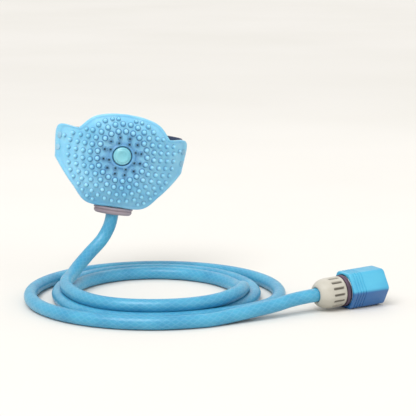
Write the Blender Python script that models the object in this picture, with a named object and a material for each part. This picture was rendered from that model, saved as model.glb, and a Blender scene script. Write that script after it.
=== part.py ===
"""A hand-worn bath sprayer for pets: a silicone scrubbing pad on a hollow spray head that straps to
the palm, a free supply hose laid in a loose coil, and the quick-disconnect coupling on its far end.
Lengths are in metres and +Z is up. The origin is the middle of the space that the hand fills."""

import math

import bmesh
import bpy
from mathutils import Matrix, Vector

MM = 0.001

# The head as it is held: turned about the world's Y axis, with its spray side towards -Y.
HEAD_TILT = math.radians(9)

# Scrubbing pad. The outline is seen from the spray side, from the button's centre.
PAD_FRONT = -44.0 * MM
PAD_THICKNESS = 3.0 * MM
PAD_FLAT_HALF_WIDTH = 12.0 * MM
PAD_WRAP_RADIUS = 60.0 * MM
PAD_CROWN_MIDDLE = -5.0 * MM
PAD_CROWN_FLAT = 22.0 * MM
PAD_CROWN_DEPTH = 80.0 * MM
PAD_TOP = [(0.0, 41.0), (17.5, 39.5), (33.5, 34.0), (46.0, 21.0)]
PAD_EAR = [(65.5, 18.0), (64.5, -13.0)]
PAD_FLANK = [(55.5, -24.0), (43.5, -37.0), (28.0, -51.5), (0.0, -53.0)]
PAD_SEGMENTS_PER_SPAN = 4

# Hard housing behind the pad, split into two cups.
HOUSING_HALF_WIDTH = 38.0 * MM
HOUSING_TOP = 35.0 * MM
HOUSING_BOTTOM = -50.0 * MM
HOUSING_SQUARENESS = 2.3
HOUSING_WALL = 2.5 * MM
HOUSING_SPLIT = -30.0 * MM
PALM_FACE = -18.0 * MM
PALM_WALL = 3.5 * MM
HOUSING_SEGMENTS = 64
GAP = 0.3 * MM

# Spray plate and its jets, in two rings round the button.
JET_RINGS = [(8, 13.5 * MM), (12, 18.6 * MM)]
JET_RADIUS = 1.5 * MM
JET_BORE = 0.6 * MM
JET_TIP = -43.0 * MM
PLATE_FRONT = -36.0 * MM
PLATE_BACK = -34.0 * MM
PLATE_INNER = 11.6 * MM
PLATE_OUTER = 26.0 * MM
WINDOW_RADIUS = 22.0 * MM

# Push button and the valve behind it, all on the head's Y axis.
BUTTON_RADIUS = 9.0 * MM
BUTTON_TRAVEL = 3.5 * MM
VALVE_OUTER = 11.2 * MM
VALVE_FRONT = -38.5 * MM
VALVE_POCKET_FLOOR = -31.0 * MM
VALVE_BACK = -21.9 * MM
VALVE_BORE_END = -23.1 * MM
PLUNGER_RADIUS = 3.2 * MM

# Water inlet and the collar that the hose plugs into.
INLET_Y = -28.0 * MM
COLLAR_TOP = -53.4 * MM
COLLAR_BOTTOM = -60.5 * MM
COLLAR_HALF_WIDTH = 19.6 * MM
COLLAR_HALF_DEPTH = 10.0 * MM
HOSE_SEAT = -54.4 * MM

# Strap over the back of the hand, riveted to both ears of the pad.
STRAP_WIDTH = 26.0 * MM
STRAP_THICKNESS = 2.0 * MM
STRAP_HEIGHT = 4.4 * MM
STRAP_SLANT = 2.5 / 60.0
STRAP_ROUTE = [
    (55.4, -15.6),
    (57.5, -12.0),
    (59.6, -8.0),
    (61.3, -3.0),
    (62.0, 3.5),
    (58.6, 10.0),
    (51.0, 15.2),
    (38.0, 19.4),
    (20.0, 21.6),
    (0.0, 22.2),
]
RIVET_HEIGHTS = (-3.0, 9.0)
RIVET_ASIDE = 62.2 * MM
RIVET_HOLE = 2.3 * MM
BRACKET_INNER = 59.2 * MM
BRACKET_LOW = -11.0 * MM
BRACKET_HIGH = 14.0 * MM
BRACKET_THICKNESS = 1.4 * MM

# Supply hose: a lead down from the head, a loose coil on the surface, and a tail to the coupling.
HOSE_RADIUS = 6.35 * MM
SURFACE = -133.0 * MM
LEAD_ROUTE = [
    (-12.6, -28.6, -72.2),
    (-20.5, -31.5, -85.5),
    (-33.0, -39.5, -97.0),
    (-44.5, -52.0, -107.0),
    (-53.0, -69.5, -113.6),
]
COIL_CENTRE = (27.0 * MM, -95.0 * MM)
COIL_INNER = 87.0 * MM
COIL_OUTER = 120.0 * MM
TUBE_SPACING = 14.0 * MM
TAIL_ROUTE = [(126.5, -183.2, -122.0), (143.0, -176.2, -119.4), (156.8, -170.3, -117.9)]

# Quick-disconnect coupling, measured along its own axis from the hose side.
COUPLING_START = (171.9 * MM, -163.9 * MM, -117.1 * MM)
COUPLING_YAW = math.radians(23)
COUPLING_PITCH = math.radians(2)
NUT_RADIUS = 14.3 * MM
NUT_LENGTH = 26.5 * MM
NUT_GROOVES = 14
BODY_RADIUS = 11.6 * MM
BODY_END = 71.5 * MM
SOCKET_RADIUS = 8.6 * MM
SOCKET_FLOOR = 44.0 * MM
SLEEVE_START = 31.0 * MM
SLEEVE_END = 71.0 * MM
SLEEVE_ACROSS_FLATS = 34.0 * MM
CONE_START = 52.0 * MM
CONE_END = 66.0 * MM
CONE_SMALL = 12.1 * MM
CONE_LARGE = 14.3 * MM
CLAW_COUNT = 4
HOSE_PLUG_DEPTH = 6.0 * MM


# ---------------------------------------------------------------- scene and mesh helpers


def clear_scene():
    """Remove every object of the scene that the script starts in."""
    for obj in list(bpy.data.objects):
        bpy.data.objects.remove(obj, do_unlink=True)


def material(name, colour, roughness, metallic=0.0):
    """A Principled material of one sub-part."""
    made = bpy.data.materials.new(name)
    made.use_nodes = True
    shader = made.node_tree.nodes["Principled BSDF"]
    shader.inputs["Base Color"].default_value = (*colour, 1.0)
    shader.inputs["Roughness"].default_value = roughness
    shader.inputs["Metallic"].default_value = metallic
    return made


def empty(name, matrix):
    """A parent that places what hangs from it."""
    made = bpy.data.objects.new(name, None)
    bpy.context.collection.objects.link(made)
    made.matrix_world = matrix
    return made


def add_object(name, data, look, parent, origin=(0.0, 0.0, 0.0)):
    """Link an object, with its own material, at an origin in its parent's frame."""
    made = bpy.data.objects.new(name, data)
    bpy.context.collection.objects.link(made)
    made.parent = parent
    made.location = origin
    if look:
        data.materials.append(material(name, *look))
    return made


def loft(name, rings, look, parent, closed=False, smooth=True, origin=(0.0, 0.0, 0.0)):
    """Skin a row of point rings. A ring of one point is a pole, other end rings are capped, and
    a closed row joins its last ring to its first, which leaves a hole through the middle."""
    mesh = bmesh.new()
    shift = Vector(origin)
    rows = [[mesh.verts.new(Vector(p) - shift) for p in ring] for ring in rings]
    pairs = list(zip(rows, rows[1:]))
    if closed:
        pairs.append((rows[-1], rows[0]))
    for low, high in pairs:
        count = max(len(low), len(high))
        for i in range(count):
            j = (i + 1) % count
            if len(low) == 1:
                mesh.faces.new((low[0], high[j], high[i]))
            elif len(high) == 1:
                mesh.faces.new((low[i], low[j], high[0]))
            else:
                mesh.faces.new((low[i], low[j], high[j], high[i]))
    if not closed:
        for row in (rows[0], rows[-1]):
            if len(row) > 1:
                mesh.faces.new(row)
    bmesh.ops.recalc_face_normals(mesh, faces=mesh.faces)
    for face in mesh.faces:
        face.smooth = smooth
    data = bpy.data.meshes.new(name)
    mesh.to_mesh(data)
    mesh.free()
    return add_object(name, data, look, parent, origin)


def circle(radius, centre, across, up, count):
    """Points of a circle in the plane of two unit vectors."""
    points = []
    for i in range(count):
        angle = math.tau * i / count
        way = math.cos(angle) * Vector(across) + math.sin(angle) * Vector(up)
        points.append(Vector(centre) + radius * way)
    return points


def turned(name, profile, look, parent, along="Y", count=32, centre=(0.0, 0.0, 0.0), origin=(0.0, 0.0, 0.0)):
    """Turn a profile of (radius, distance) about an axis through centre. A profile that starts and
    ends on the axis is solid, and any other is a ring."""
    axis, across, up = {
        "X": (Vector((1, 0, 0)), Vector((0, 1, 0)), Vector((0, 0, 1))),
        "Y": (Vector((0, 1, 0)), Vector((0, 0, 1)), Vector((1, 0, 0))),
        "Z": (Vector((0, 0, 1)), Vector((1, 0, 0)), Vector((0, 1, 0))),
    }[along]
    rings = []
    for radius, distance in profile:
        middle = Vector(centre) + axis * distance
        rings.append([middle] if radius == 0 else circle(radius, middle, across, up, count))
    return loft(name, rings, look, parent, closed=profile[0][0] > 0, origin=origin)


def helper(obj):
    """Mark a cutter, or a piece that a Boolean takes in, as no part of the object."""
    obj.hide_render = True
    obj.display_type = "WIRE"
    return obj


def boolean(obj, other, operation="DIFFERENCE"):
    """Add a Boolean with the exact solver."""
    modifier = obj.modifiers.new(operation.title() + "_" + other.name, "BOOLEAN")
    modifier.operation = operation
    modifier.object = other
    modifier.solver = "EXACT"


def rods(name, ends, radius, parent, count=10):
    """One helper mesh of separate straight rods, each between two points."""
    mesh = bmesh.new()
    for start, end in ends:
        axis = (Vector(end) - Vector(start)).normalized()
        across = axis.orthogonal().normalized()
        up = axis.cross(across)
        low = [mesh.verts.new(p) for p in circle(radius, start, across, up, count)]
        high = [mesh.verts.new(p) for p in circle(radius, end, across, up, count)]
        for i in range(count):
            j = (i + 1) % count
            mesh.faces.new((low[i], low[j], high[j], high[i]))
        mesh.faces.new(low[::-1])
        mesh.faces.new(high)
    bmesh.ops.recalc_face_normals(mesh, faces=mesh.faces)
    data = bpy.data.meshes.new(name)
    mesh.to_mesh(data)
    mesh.free()
    return helper(add_object(name, data, None, parent))


def tube(name, points, radius, look, parent, sides=3):
    """A round solid tube along points, as a bevelled curve with filled caps."""
    data = bpy.data.curves.new(name, "CURVE")
    data.dimensions = "3D"
    data.bevel_depth = radius
    data.bevel_resolution = sides
    data.use_fill_caps = True
    data.twist_mode = "MINIMUM"
    spline = data.splines.new("POLY")
    spline.points.add(len(points) - 1)
    for made, point in zip(spline.points, points):
        made.co = (*point, 1.0)
    return add_object(name, data, look, parent)


def smooth_curve(points, steps=24):
    """A fine polyline on the Catmull-Rom curve through points."""
    route = [Vector(p) for p in points]
    route = [2 * route[0] - route[1]] + route + [2 * route[-1] - route[-2]]
    fine = []
    for a, b, c, d in zip(route, route[1:], route[2:], route[3:]):
        for k in range(steps):
            t = k / steps
            fine.append(
                0.5
                * (
                    2 * b
                    + (c - a) * t
                    + (2 * a - 5 * b + 4 * c - d) * t**2
                    + (3 * b - a - 3 * c + d) * t**3
                )
            )
    return fine + [route[-2]]


def spaced(fine, spacing):
    """Points about one spacing apart along a fine polyline, its two ends among them."""
    lengths = [0.0]
    for a, b in zip(fine, fine[1:]):
        lengths.append(lengths[-1] + (b - a).length)
    count = max(2, round(lengths[-1] / spacing))
    points = []
    index = 0
    for k in range(count + 1):
        wanted = lengths[-1] * k / count
        while index < len(fine) - 2 and lengths[index + 1] < wanted:
            index += 1
        share = (wanted - lengths[index]) / (lengths[index + 1] - lengths[index])
        points.append(fine[index].lerp(fine[index + 1], min(1.0, share)))
    return points


def helix(radius, start, end, turns, per_turn=14):
    """Points of a coil spring about the Z axis."""
    count = int(turns * per_turn)
    points = []
    for i in range(count + 1):
        angle = math.tau * turns * i / count
        height = start + (end - start) * i / count
        points.append(Vector((radius * math.cos(angle), radius * math.sin(angle), height)))
    return points


# ---------------------------------------------------------------- shape of the head


def pad_depth(x, z):
    """Y of the pad's outer face, which wraps back round the hand at the sides."""
    aside = max(0.0, abs(x) - PAD_FLAT_HALF_WIDTH)
    wrap = PAD_WRAP_RADIUS - math.sqrt(PAD_WRAP_RADIUS**2 - aside**2)
    crown = max(0.0, abs(z - PAD_CROWN_MIDDLE) - PAD_CROWN_FLAT) ** 2 / PAD_CROWN_DEPTH
    return PAD_FRONT + wrap + crown


def pad_normal(x, z):
    """Unit vector into the pad, square to its outer face."""
    step = 0.01 * MM
    slope_x = (pad_depth(x + step, z) - pad_depth(x - step, z)) / (2 * step)
    slope_z = (pad_depth(x, z + step) - pad_depth(x, z - step)) / (2 * step)
    return Vector((-slope_x, 1.0, -slope_z)).normalized()


def under_pad(x, z, depth):
    """The point a given depth inside the pad's outer face."""
    return Vector((x, pad_depth(x, z), z)) + depth * pad_normal(x, z)


def pad_outline():
    """The pad's edge as (x, z), clockwise from the top, round spans smooth and the ears' corners sharp."""
    half = []
    for span in (PAD_TOP, [PAD_TOP[-1], *PAD_EAR], [PAD_EAR[-1], *PAD_FLANK]):
        fine = smooth_curve([(x, z, 0.0) for x, z in span])
        steps = PAD_SEGMENTS_PER_SPAN * (len(span) - 1)
        length = len(fine) - 1
        half += [fine[round(length * k / steps)] * MM for k in range(steps)]
    bottom = Vector((PAD_FLANK[-1][0], PAD_FLANK[-1][1], 0.0)) * MM
    right = [(p.x, p.y) for p in half] + [(bottom.x, bottom.y)]
    left = [(-x, z) for x, z in right[-2:0:-1]]
    return right + left


def housing_outline(inset=0.0):
    """The housing's edge as (x, z): a squared oval, longer below the button than above it."""
    points = []
    for i in range(HOUSING_SEGMENTS):
        angle = math.tau * i / HOUSING_SEGMENTS
        across = math.copysign(abs(math.sin(angle)) ** (2 / HOUSING_SQUARENESS), math.sin(angle))
        along = math.copysign(abs(math.cos(angle)) ** (2 / HOUSING_SQUARENESS), math.cos(angle))
        height = HOUSING_TOP if along > 0 else -HOUSING_BOTTOM
        points.append(((HOUSING_HALF_WIDTH - inset) * across, (height - inset) * along))
    return points


def spokes(outline, hole, share):
    """(x, z) points part of the way from a round hole to an outline."""
    points = []
    for x, z in outline:
        length = math.hypot(x, z)
        reach = hole + (length - hole) * share
        points.append((x * reach / length, z * reach / length))
    return points


def skin(outline, hole, share, depth):
    """Points on the surface a given depth inside the pad, on the way from a hole to an outline."""
    return [under_pad(x, z, depth) for x, z in spokes(outline, hole, share)]


def level(outline, y):
    """An outline at one depth."""
    return [Vector((x, y, z)) for x, z in outline]


def jet_places():
    """(x, z) of every jet."""
    places = []
    for count, radius in JET_RINGS:
        for i in range(count):
            angle = math.tau * (i + 0.5) / count
            places.append((radius * math.sin(angle), radius * math.cos(angle)))
    return places


# ---------------------------------------------------------------- the head's pieces

SILICONE = ((0.16, 0.50, 0.80), 0.45)
SHELL = ((0.30, 0.62, 0.84), 0.40)
GREY = ((0.42, 0.38, 0.42), 0.45)
WHITE = ((0.80, 0.82, 0.82), 0.40)
RUBBER = ((0.03, 0.03, 0.035), 0.60)
STEEL = ((0.62, 0.63, 0.65), 0.28, 1.0)
WEBBING = ((0.035, 0.06, 0.13), 0.85)


def make_pad(head):
    """The silicone pad: one even skin with a hole for the button, one for each jet and the rivets."""
    outline = pad_outline()
    hole = BUTTON_RADIUS + 0.6 * MM
    shares = (0.0, 0.2, 0.4, 0.6, 0.72, 0.82, 0.91, 1.0)
    outer = [skin(outline, hole, share, 0.0) for share in shares]
    inner = [skin(outline, hole, share, PAD_THICKNESS) for share in reversed(shares)]
    pad = loft("scrubber_pad", outer + inner, SILICONE, head, closed=True)
    ends = [((x, PAD_FRONT - 6 * MM, z), (x, PAD_FRONT + 8 * MM, z)) for x, z in jet_places()]
    boolean(pad, rods("pad_jet_cutter", ends, JET_RADIUS + GAP, head))
    boolean(pad, rods("pad_rivet_cutter", rivet_lines(), 2.3 * MM, head))
    return pad


def make_housing_front(head):
    """Front cup: follows the pad from behind, with a round window for the spray plate, a skirt down
    to the split line, and four screw posts."""
    outer = housing_outline()
    inner = housing_outline(inset=HOUSING_WALL)
    shares = (0.0, 0.25, 0.5, 0.75, 1.0)
    near = PAD_THICKNESS + 2 * GAP
    far = near + HOUSING_WALL
    rings = [skin(outer, WINDOW_RADIUS, share, near) for share in shares]
    rings += [level(outer, HOUSING_SPLIT), level(inner, HOUSING_SPLIT)]
    rings += [skin(inner, WINDOW_RADIUS, share, far) for share in reversed(shares)]
    front = loft("housing_front", rings, SHELL, head, closed=True)
    root = near + 1.4 * MM
    foot = PALM_FACE - PALM_WALL - GAP
    posts = [((x, pad_depth(x, z) + root, z), (x, foot, z)) for x, z in SCREW_PLACES]
    pilots = [((x, -33.6 * MM, z), (x, PALM_FACE, z)) for x, z in SCREW_PLACES]
    boolean(front, rods("front_posts", posts, 3.4 * MM, head, 12), "UNION")
    boolean(front, rods("front_pilot_cutter", pilots, 1.6 * MM, head))
    boolean(front, inlet_cutter("front_inlet_cutter", head))
    return front


def make_housing_back(head):
    """Back cup: the wall under the palm, its skirt up to the split line, and the screws' counterbores."""
    outer = housing_outline()
    inner = housing_outline(inset=HOUSING_WALL)
    edge = housing_outline(inset=1.2 * MM)
    split = HOUSING_SPLIT + GAP
    rings = [
        [Vector((0.0, PALM_FACE, 0.0))],
        level([(0.5 * x, 0.5 * z) for x, z in edge], PALM_FACE),
        level(edge, PALM_FACE),
        level(outer, PALM_FACE - 1.2 * MM),
        level(outer, split),
        level(inner, split),
        level(inner, PALM_FACE - PALM_WALL),
        level([(0.5 * x, 0.5 * z) for x, z in inner], PALM_FACE - PALM_WALL),
        [Vector((0.0, PALM_FACE - PALM_WALL, 0.0))],
    ]
    back = loft("housing_back", rings, SHELL, head)
    holes = [((x, PALM_FACE - 6 * MM, z), (x, PALM_FACE + 2 * MM, z)) for x, z in SCREW_PLACES]
    sinks = [((x, PALM_FACE - 1.9 * MM, z), (x, PALM_FACE + 2 * MM, z)) for x, z in SCREW_PLACES]
    boolean(back, rods("back_screw_cutter", holes, 1.6 * MM, head))
    boolean(back, rods("back_sink_cutter", sinks, 3.0 * MM, head, 12))
    boolean(back, inlet_cutter("back_inlet_cutter", head))
    return back


SCREW_PLACES = [(27.5 * MM, 16 * MM), (-27.5 * MM, 16 * MM), (20 * MM, -33 * MM), (-20 * MM, -33 * MM)]


def inlet_cutter(name, head):
    """The hole that lets the inlet pipe through the bottom of the housing's skirt."""
    line = [((0.0, INLET_Y, -40 * MM), (0.0, INLET_Y, -60 * MM))]
    return rods(name, line, 4.4 * MM, head, 16)


def make_screws(head):
    """Four pan-head screws through the back cup into the front cup's posts."""
    for number, (x, z) in enumerate(SCREW_PLACES, 1):
        top = PALM_FACE - 0.1 * MM
        seat = PALM_FACE - 1.6 * MM
        tip = -33.0 * MM
        profile = [(0, tip), (1.0 * MM, tip + 1 * MM), (1.3 * MM, tip + 2 * MM), (1.3 * MM, seat)]
        profile += [(2.6 * MM, seat), (2.6 * MM, top - 0.5 * MM), (1.9 * MM, top), (0, top)]
        turned(f"housing_screw_{number}", profile, STEEL, head, count=12, centre=(x, 0.0, z))


def make_spray_plate(head):
    """Round plate behind the window, with a short nozzle through the pad for each jet."""
    profile = [
        (PLATE_INNER, PLATE_FRONT),
        (PLATE_OUTER, PLATE_FRONT),
        (PLATE_OUTER, PLATE_BACK),
        (PLATE_INNER, PLATE_BACK),
    ]
    plate = turned("spray_plate", profile, WHITE, head, count=40)
    nozzles = [((x, JET_TIP, z), (x, PLATE_FRONT + 1 * MM, z)) for x, z in jet_places()]
    bores = [((x, JET_TIP - 2 * MM, z), (x, PLATE_BACK + 2 * MM, z)) for x, z in jet_places()]
    boolean(plate, rods("plate_nozzles", nozzles, JET_RADIUS, head, 8), "UNION")
    boolean(plate, rods("plate_bore_cutter", bores, JET_BORE, head, 6))
    return plate


def make_gasket(head):
    """Rubber ring that seals the spray plate against the chamber behind it."""
    profile = [
        (PLATE_OUTER - 3.4 * MM, PLATE_BACK + GAP),
        (PLATE_OUTER - 0.4 * MM, PLATE_BACK + GAP),
        (PLATE_OUTER - 0.4 * MM, PLATE_BACK + GAP + 1.6 * MM),
        (PLATE_OUTER - 3.4 * MM, PLATE_BACK + GAP + 1.6 * MM),
    ]
    return turned("plate_gasket", profile, RUBBER, head, count=32)


def make_valve_body(head):
    """Fixed barrel behind the button: a pocket for the spring and a bore for the plunger."""
    bore = PLUNGER_RADIUS + 1.0 * MM
    pocket = BUTTON_RADIUS + 0.4 * MM
    profile = [
        (0, VALVE_BACK),
        (VALVE_OUTER, VALVE_BACK),
        (VALVE_OUTER, VALVE_FRONT),
        (pocket, VALVE_FRONT),
        (pocket, VALVE_POCKET_FLOOR),
        (bore, VALVE_POCKET_FLOOR),
        (bore, VALVE_BORE_END),
        (0, VALVE_BORE_END),
    ]
    body = turned("valve_body", profile, WHITE, head, count=30)
    ports = [((0.0, INLET_Y, side * 2.0 * MM), (0.0, INLET_Y, side * 14.0 * MM)) for side in (-1, 1)]
    boolean(body, rods("valve_port_cutter", ports, 2.5 * MM, head, 6))
    return body


def make_button(head):
    """The button's cap, its plunger with two seals, and the return spring. All but the spring move
    along the head's Y axis, where their origins are."""
    origin = (0.0, PAD_FRONT - 2 * MM, 0.0)
    face = PAD_FRONT - 2.0 * MM
    cap = [
        (0, face),
        (4.5 * MM, face + 0.15 * MM),
        (7.6 * MM, face + 0.8 * MM),
        (BUTTON_RADIUS, face + 2.2 * MM),
        (BUTTON_RADIUS, face + 7.0 * MM),
        (BUTTON_RADIUS - 1.4 * MM, face + 7.0 * MM),
        (BUTTON_RADIUS - 1.4 * MM, face + 3.2 * MM),
        (0, face + 3.2 * MM),
    ]
    turned("push_button", cap, ((0.28, 0.76, 0.86), 0.35), head, count=36, origin=origin)
    groove = PLUNGER_RADIUS - 0.8 * MM
    stem_front = face + 3.5 * MM
    stem_back = VALVE_BORE_END - BUTTON_TRAVEL - GAP
    stem = [(0, stem_front), (4.6 * MM, stem_front), (4.6 * MM, stem_front + 1.4 * MM)]
    stem.append((PLUNGER_RADIUS, stem_front + 1.4 * MM))
    for middle in SEAL_PLACES:
        stem.append((PLUNGER_RADIUS, middle - 0.9 * MM))
        stem.append((groove, middle - 0.9 * MM))
        stem.append((groove, middle + 0.9 * MM))
        stem.append((PLUNGER_RADIUS, middle + 0.9 * MM))
    stem += [(PLUNGER_RADIUS, stem_back), (0, stem_back)]
    turned("valve_plunger", stem, WHITE, head, count=24, origin=origin)
    for number, middle in enumerate(SEAL_PLACES, 1):
        seal = ring_profile(groove + GAP + 0.5 * MM, 0.5 * MM, middle, 8)
        turned(f"plunger_seal_{number}", seal, RUBBER, head, count=20, origin=origin)
    spring = tube(
        "button_spring",
        helix(6.1 * MM, 0.9 * MM, VALVE_POCKET_FLOOR - stem_front - 0.9 * MM, 4.0),
        0.45 * MM,
        STEEL,
        head,
        sides=1,
    )
    spring.rotation_euler = (math.radians(-90), 0.0, 0.0)
    spring.location = (0.0, stem_front, 0.0)


SEAL_PLACES = (-30.6 * MM, -28.2 * MM)


def ring_profile(ring_radius, wire_radius, middle, count):
    """Round section of an O-ring, as (radius, distance) points."""
    points = []
    for i in range(count):
        angle = math.tau * i / count
        points.append((ring_radius + wire_radius * math.cos(angle), middle + wire_radius * math.sin(angle)))
    return points


def make_inlet(head):
    """The pipe from the hose seat up to the valve, and the oval collar round the hose's end."""
    top = -VALVE_OUTER - GAP
    bottom = HOSE_SEAT + GAP
    pipe = [(2.7 * MM, top), (4.0 * MM, top), (4.0 * MM, bottom), (2.7 * MM, bottom)]
    turned("inlet_pipe", pipe, WHITE, head, along="Z", count=24, centre=(0.0, INLET_Y, 0.0))
    middle = Vector((0.0, INLET_Y - 1 * MM, 0.0))
    hole = HOSE_RADIUS + GAP

    def oval(grow, z):
        points = []
        for i in range(40):
            angle = math.tau * i / 40
            across = (COLLAR_HALF_WIDTH + grow) * math.cos(angle)
            deep = (COLLAR_HALF_DEPTH + grow) * math.sin(angle)
            points.append(middle + Vector((across, deep, z)))
        return points

    def bore(z):
        return circle(hole, (0.0, INLET_Y, z), (1, 0, 0), (0, 1, 0), 40)

    rings = [
        bore(COLLAR_TOP),
        oval(-1.2 * MM, COLLAR_TOP),
        oval(0.0, COLLAR_TOP - 1.2 * MM),
        oval(-1.0 * MM, COLLAR_BOTTOM + 1.6 * MM),
        oval(-2.6 * MM, COLLAR_BOTTOM),
        bore(COLLAR_BOTTOM),
    ]
    loft("base_collar", rings, GREY, head, closed=True)


def make_grip_liner(head):
    """Soft sheet on the palm wall, over the screw heads."""
    wide = housing_outline(inset=3.0 * MM)
    small = housing_outline(inset=4.2 * MM)
    low = PALM_FACE + GAP
    high = low + 2.5 * MM
    rings = [
        [Vector((0.0, low, 0.0))],
        level(wide, low),
        level(wide, high - 1.0 * MM),
        level(small, high),
        [Vector((0.0, high, 0.0))],
    ]
    loft("grip_liner", rings, ((0.10, 0.30, 0.50), 0.75), head)


# ---------------------------------------------------------------- the strap


RIVET_PROFILE = [
    (0, 4.6),
    (2.6, 4.9),
    (3.4, 5.7),
    (2.0, 5.7),
    (2.0, 15.6),
    (3.2, 15.6),
    (2.8, 16.4),
    (0, 16.6),
]


def rivet_lines():
    """The straight line through the ear, bracket and strap for each rivet, from outside to inside."""
    lines = []
    for side in (-1, 1):
        for height in RIVET_HEIGHTS:
            x = side * RIVET_ASIDE
            z = height * MM
            way = pad_normal(x, z)
            start = under_pad(x, z, 0.0)
            lines.append((start - 6 * MM * way, start + 14 * MM * way))
    return lines


def band(name, points, half_width, thickness, middle, look, head):
    """A flat band along (x, y) points, with its width along Z and its thickness inwards."""
    rings = []
    for i, point in enumerate(points):
        ahead = points[min(i + 1, len(points) - 1)]
        behind = points[max(i - 1, 0)]
        way = (ahead - behind).normalized()
        inward = Vector((way.y, -way.x, 0.0)) * thickness
        if inward.dot(Vector((-point.x, -point.y, 0.0))) < 0:
            inward = -inward
        low = Vector((0.0, 0.0, middle[i] - half_width))
        high = Vector((0.0, 0.0, middle[i] + half_width))
        rings.append([point + low, point + high, point + inward + high, point + inward + low])
    return loft(name, rings, look, head, smooth=False)


def strap_points(side, reach, lift):
    """(x, y) points of one half of the strap from its ear to a share of the way across the hand."""
    fine = smooth_curve([(x * MM, y * MM, 0.0) for x, y in STRAP_ROUTE])
    fine += [Vector((-p.x, p.y, 0.0)) for p in reversed(fine[:-1])]
    points = spaced(fine[: int(len(fine) * reach)], 7 * MM)
    raised = []
    for point in points:
        rise = lift * min(1.0, max(0.0, (point.y - 12 * MM) / (6 * MM)))
        raised.append(Vector((side * point.x, point.y + rise, 0.0)))
    return raised


def make_strap(head):
    """Two webbing halves that overlap and fasten on the back of the hand, and their riveted brackets."""
    lines = rivet_lines()
    for side, label, reach, lift in ((-1, "left", 0.62, 0.0), (1, "right", 0.60, STRAP_THICKNESS + 0.4 * MM)):
        points = strap_points(side, reach, lift)
        middle = [STRAP_HEIGHT + STRAP_SLANT * point.x for point in points]
        strap = band(f"strap_{label}", points, STRAP_WIDTH / 2, STRAP_THICKNESS, middle, WEBBING, head)
        boolean(strap, rods(f"strap_cutter_{label}", lines, RIVET_HOLE, head))
        rings = []
        for k in range(4):
            x = side * (BRACKET_INNER + 1.7 * MM * k)
            near = PAD_THICKNESS + 3 * GAP
            far = near + BRACKET_THICKNESS
            corners = [(BRACKET_LOW, near), (BRACKET_HIGH, near), (BRACKET_HIGH, far), (BRACKET_LOW, far)]
            rings.append([under_pad(x, z, depth) for z, depth in corners])
        bracket = loft(f"ear_bracket_{label}", rings, GREY, head, smooth=False)
        boolean(bracket, rods(f"bracket_cutter_{label}", lines, RIVET_HOLE, head))
    for number, (start, end) in enumerate(lines, 1):
        way = (end - start).normalized()
        across = way.orthogonal().normalized()
        up = way.cross(across)
        rings = []
        for radius, distance in RIVET_PROFILE:
            middle = start + way * distance * MM
            rings.append([middle] if radius == 0 else circle(radius * MM, middle, across, up, 14))
        loft(f"ear_rivet_{number}", rings, STEEL, head)


# ---------------------------------------------------------------- the hose


def make_hose():
    """The hose as a tube down from the head, a ring for its coil, and a tube to the coupling."""
    look = ((0.07, 0.36, 0.60), 0.30)
    tilt = Matrix.Rotation(HEAD_TILT, 3, "Y")
    seat = tilt @ Vector((0.0, INLET_Y, HOSE_SEAT))
    mouth = tilt @ Vector((0.0, INLET_Y, COLLAR_BOTTOM))
    lead = [seat, mouth] + [Vector(p) * MM for p in LEAD_ROUTE]
    tube("hose_lead", spaced(smooth_curve(lead), TUBE_SPACING), HOSE_RADIUS, look, None)
    inner = COIL_INNER - HOSE_RADIUS
    outer = COIL_OUTER + HOSE_RADIUS
    top = SURFACE + 2 * HOSE_RADIUS
    edge = 2.5 * MM
    section = [
        (inner, SURFACE + edge),
        (inner + edge, SURFACE),
        (outer - edge, SURFACE),
        (outer, SURFACE + edge),
        (outer, top - edge),
        (outer - edge, top),
        (inner + edge, top),
        (inner, top - edge),
    ]
    turned("hose_coil", section, look, None, along="Z", count=64, centre=(*COIL_CENTRE, 0.0))
    start = Vector(COUPLING_START)
    along = coupling_matrix().to_3x3() @ Vector((0.0, 0.0, 1.0))
    end = start + along * (HOSE_PLUG_DEPTH - GAP)
    tail = [Vector(p) * MM for p in TAIL_ROUTE] + [start, end]
    tube("hose_tail", spaced(smooth_curve(tail), TUBE_SPACING), HOSE_RADIUS, look, None)


# ---------------------------------------------------------------- the quick-disconnect coupling


def coupling_matrix():
    """Frame of the coupling: its Z runs from the hose to the open end, and its Y points up."""
    along = Vector(
        (
            math.cos(COUPLING_YAW) * math.cos(COUPLING_PITCH),
            math.sin(COUPLING_YAW) * math.cos(COUPLING_PITCH),
            math.sin(COUPLING_PITCH),
        )
    )
    across = Vector((0.0, 0.0, 1.0)).cross(along).normalized()
    up = along.cross(across)
    turn = Matrix((across, up, along)).transposed().to_4x4()
    return Matrix.Translation(COUPLING_START) @ turn


def make_nut(coupling):
    """Grey clamp nut: a rounded shoulder on the hose side and grip grooves on the other."""
    bore = HOSE_RADIUS + GAP
    cavity = BODY_RADIUS + 0.5 * MM
    profile = [
        (bore, 0.0),
        (8.4 * MM, 0.0),
        (11.2 * MM, 2.6 * MM),
        (13.2 * MM, 6.0 * MM),
        (NUT_RADIUS, 10.0 * MM),
        (NUT_RADIUS, NUT_LENGTH),
        (cavity, NUT_LENGTH),
        (cavity, 8.0 * MM),
        (bore, 8.0 * MM),
    ]
    nut = turned("hose_nut", profile, ((0.58, 0.56, 0.49), 0.50), coupling, along="Z", count=42)
    grooves = []
    for i in range(NUT_GROOVES):
        angle = math.tau * i / NUT_GROOVES
        reach = NUT_RADIUS + 0.5 * MM
        foot = Vector((reach * math.cos(angle), reach * math.sin(angle), 12.5 * MM))
        grooves.append((foot, foot + Vector((0.0, 0.0, NUT_LENGTH))))
    boolean(nut, rods("nut_groove_cutter", grooves, 1.5 * MM, coupling, 8))


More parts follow.
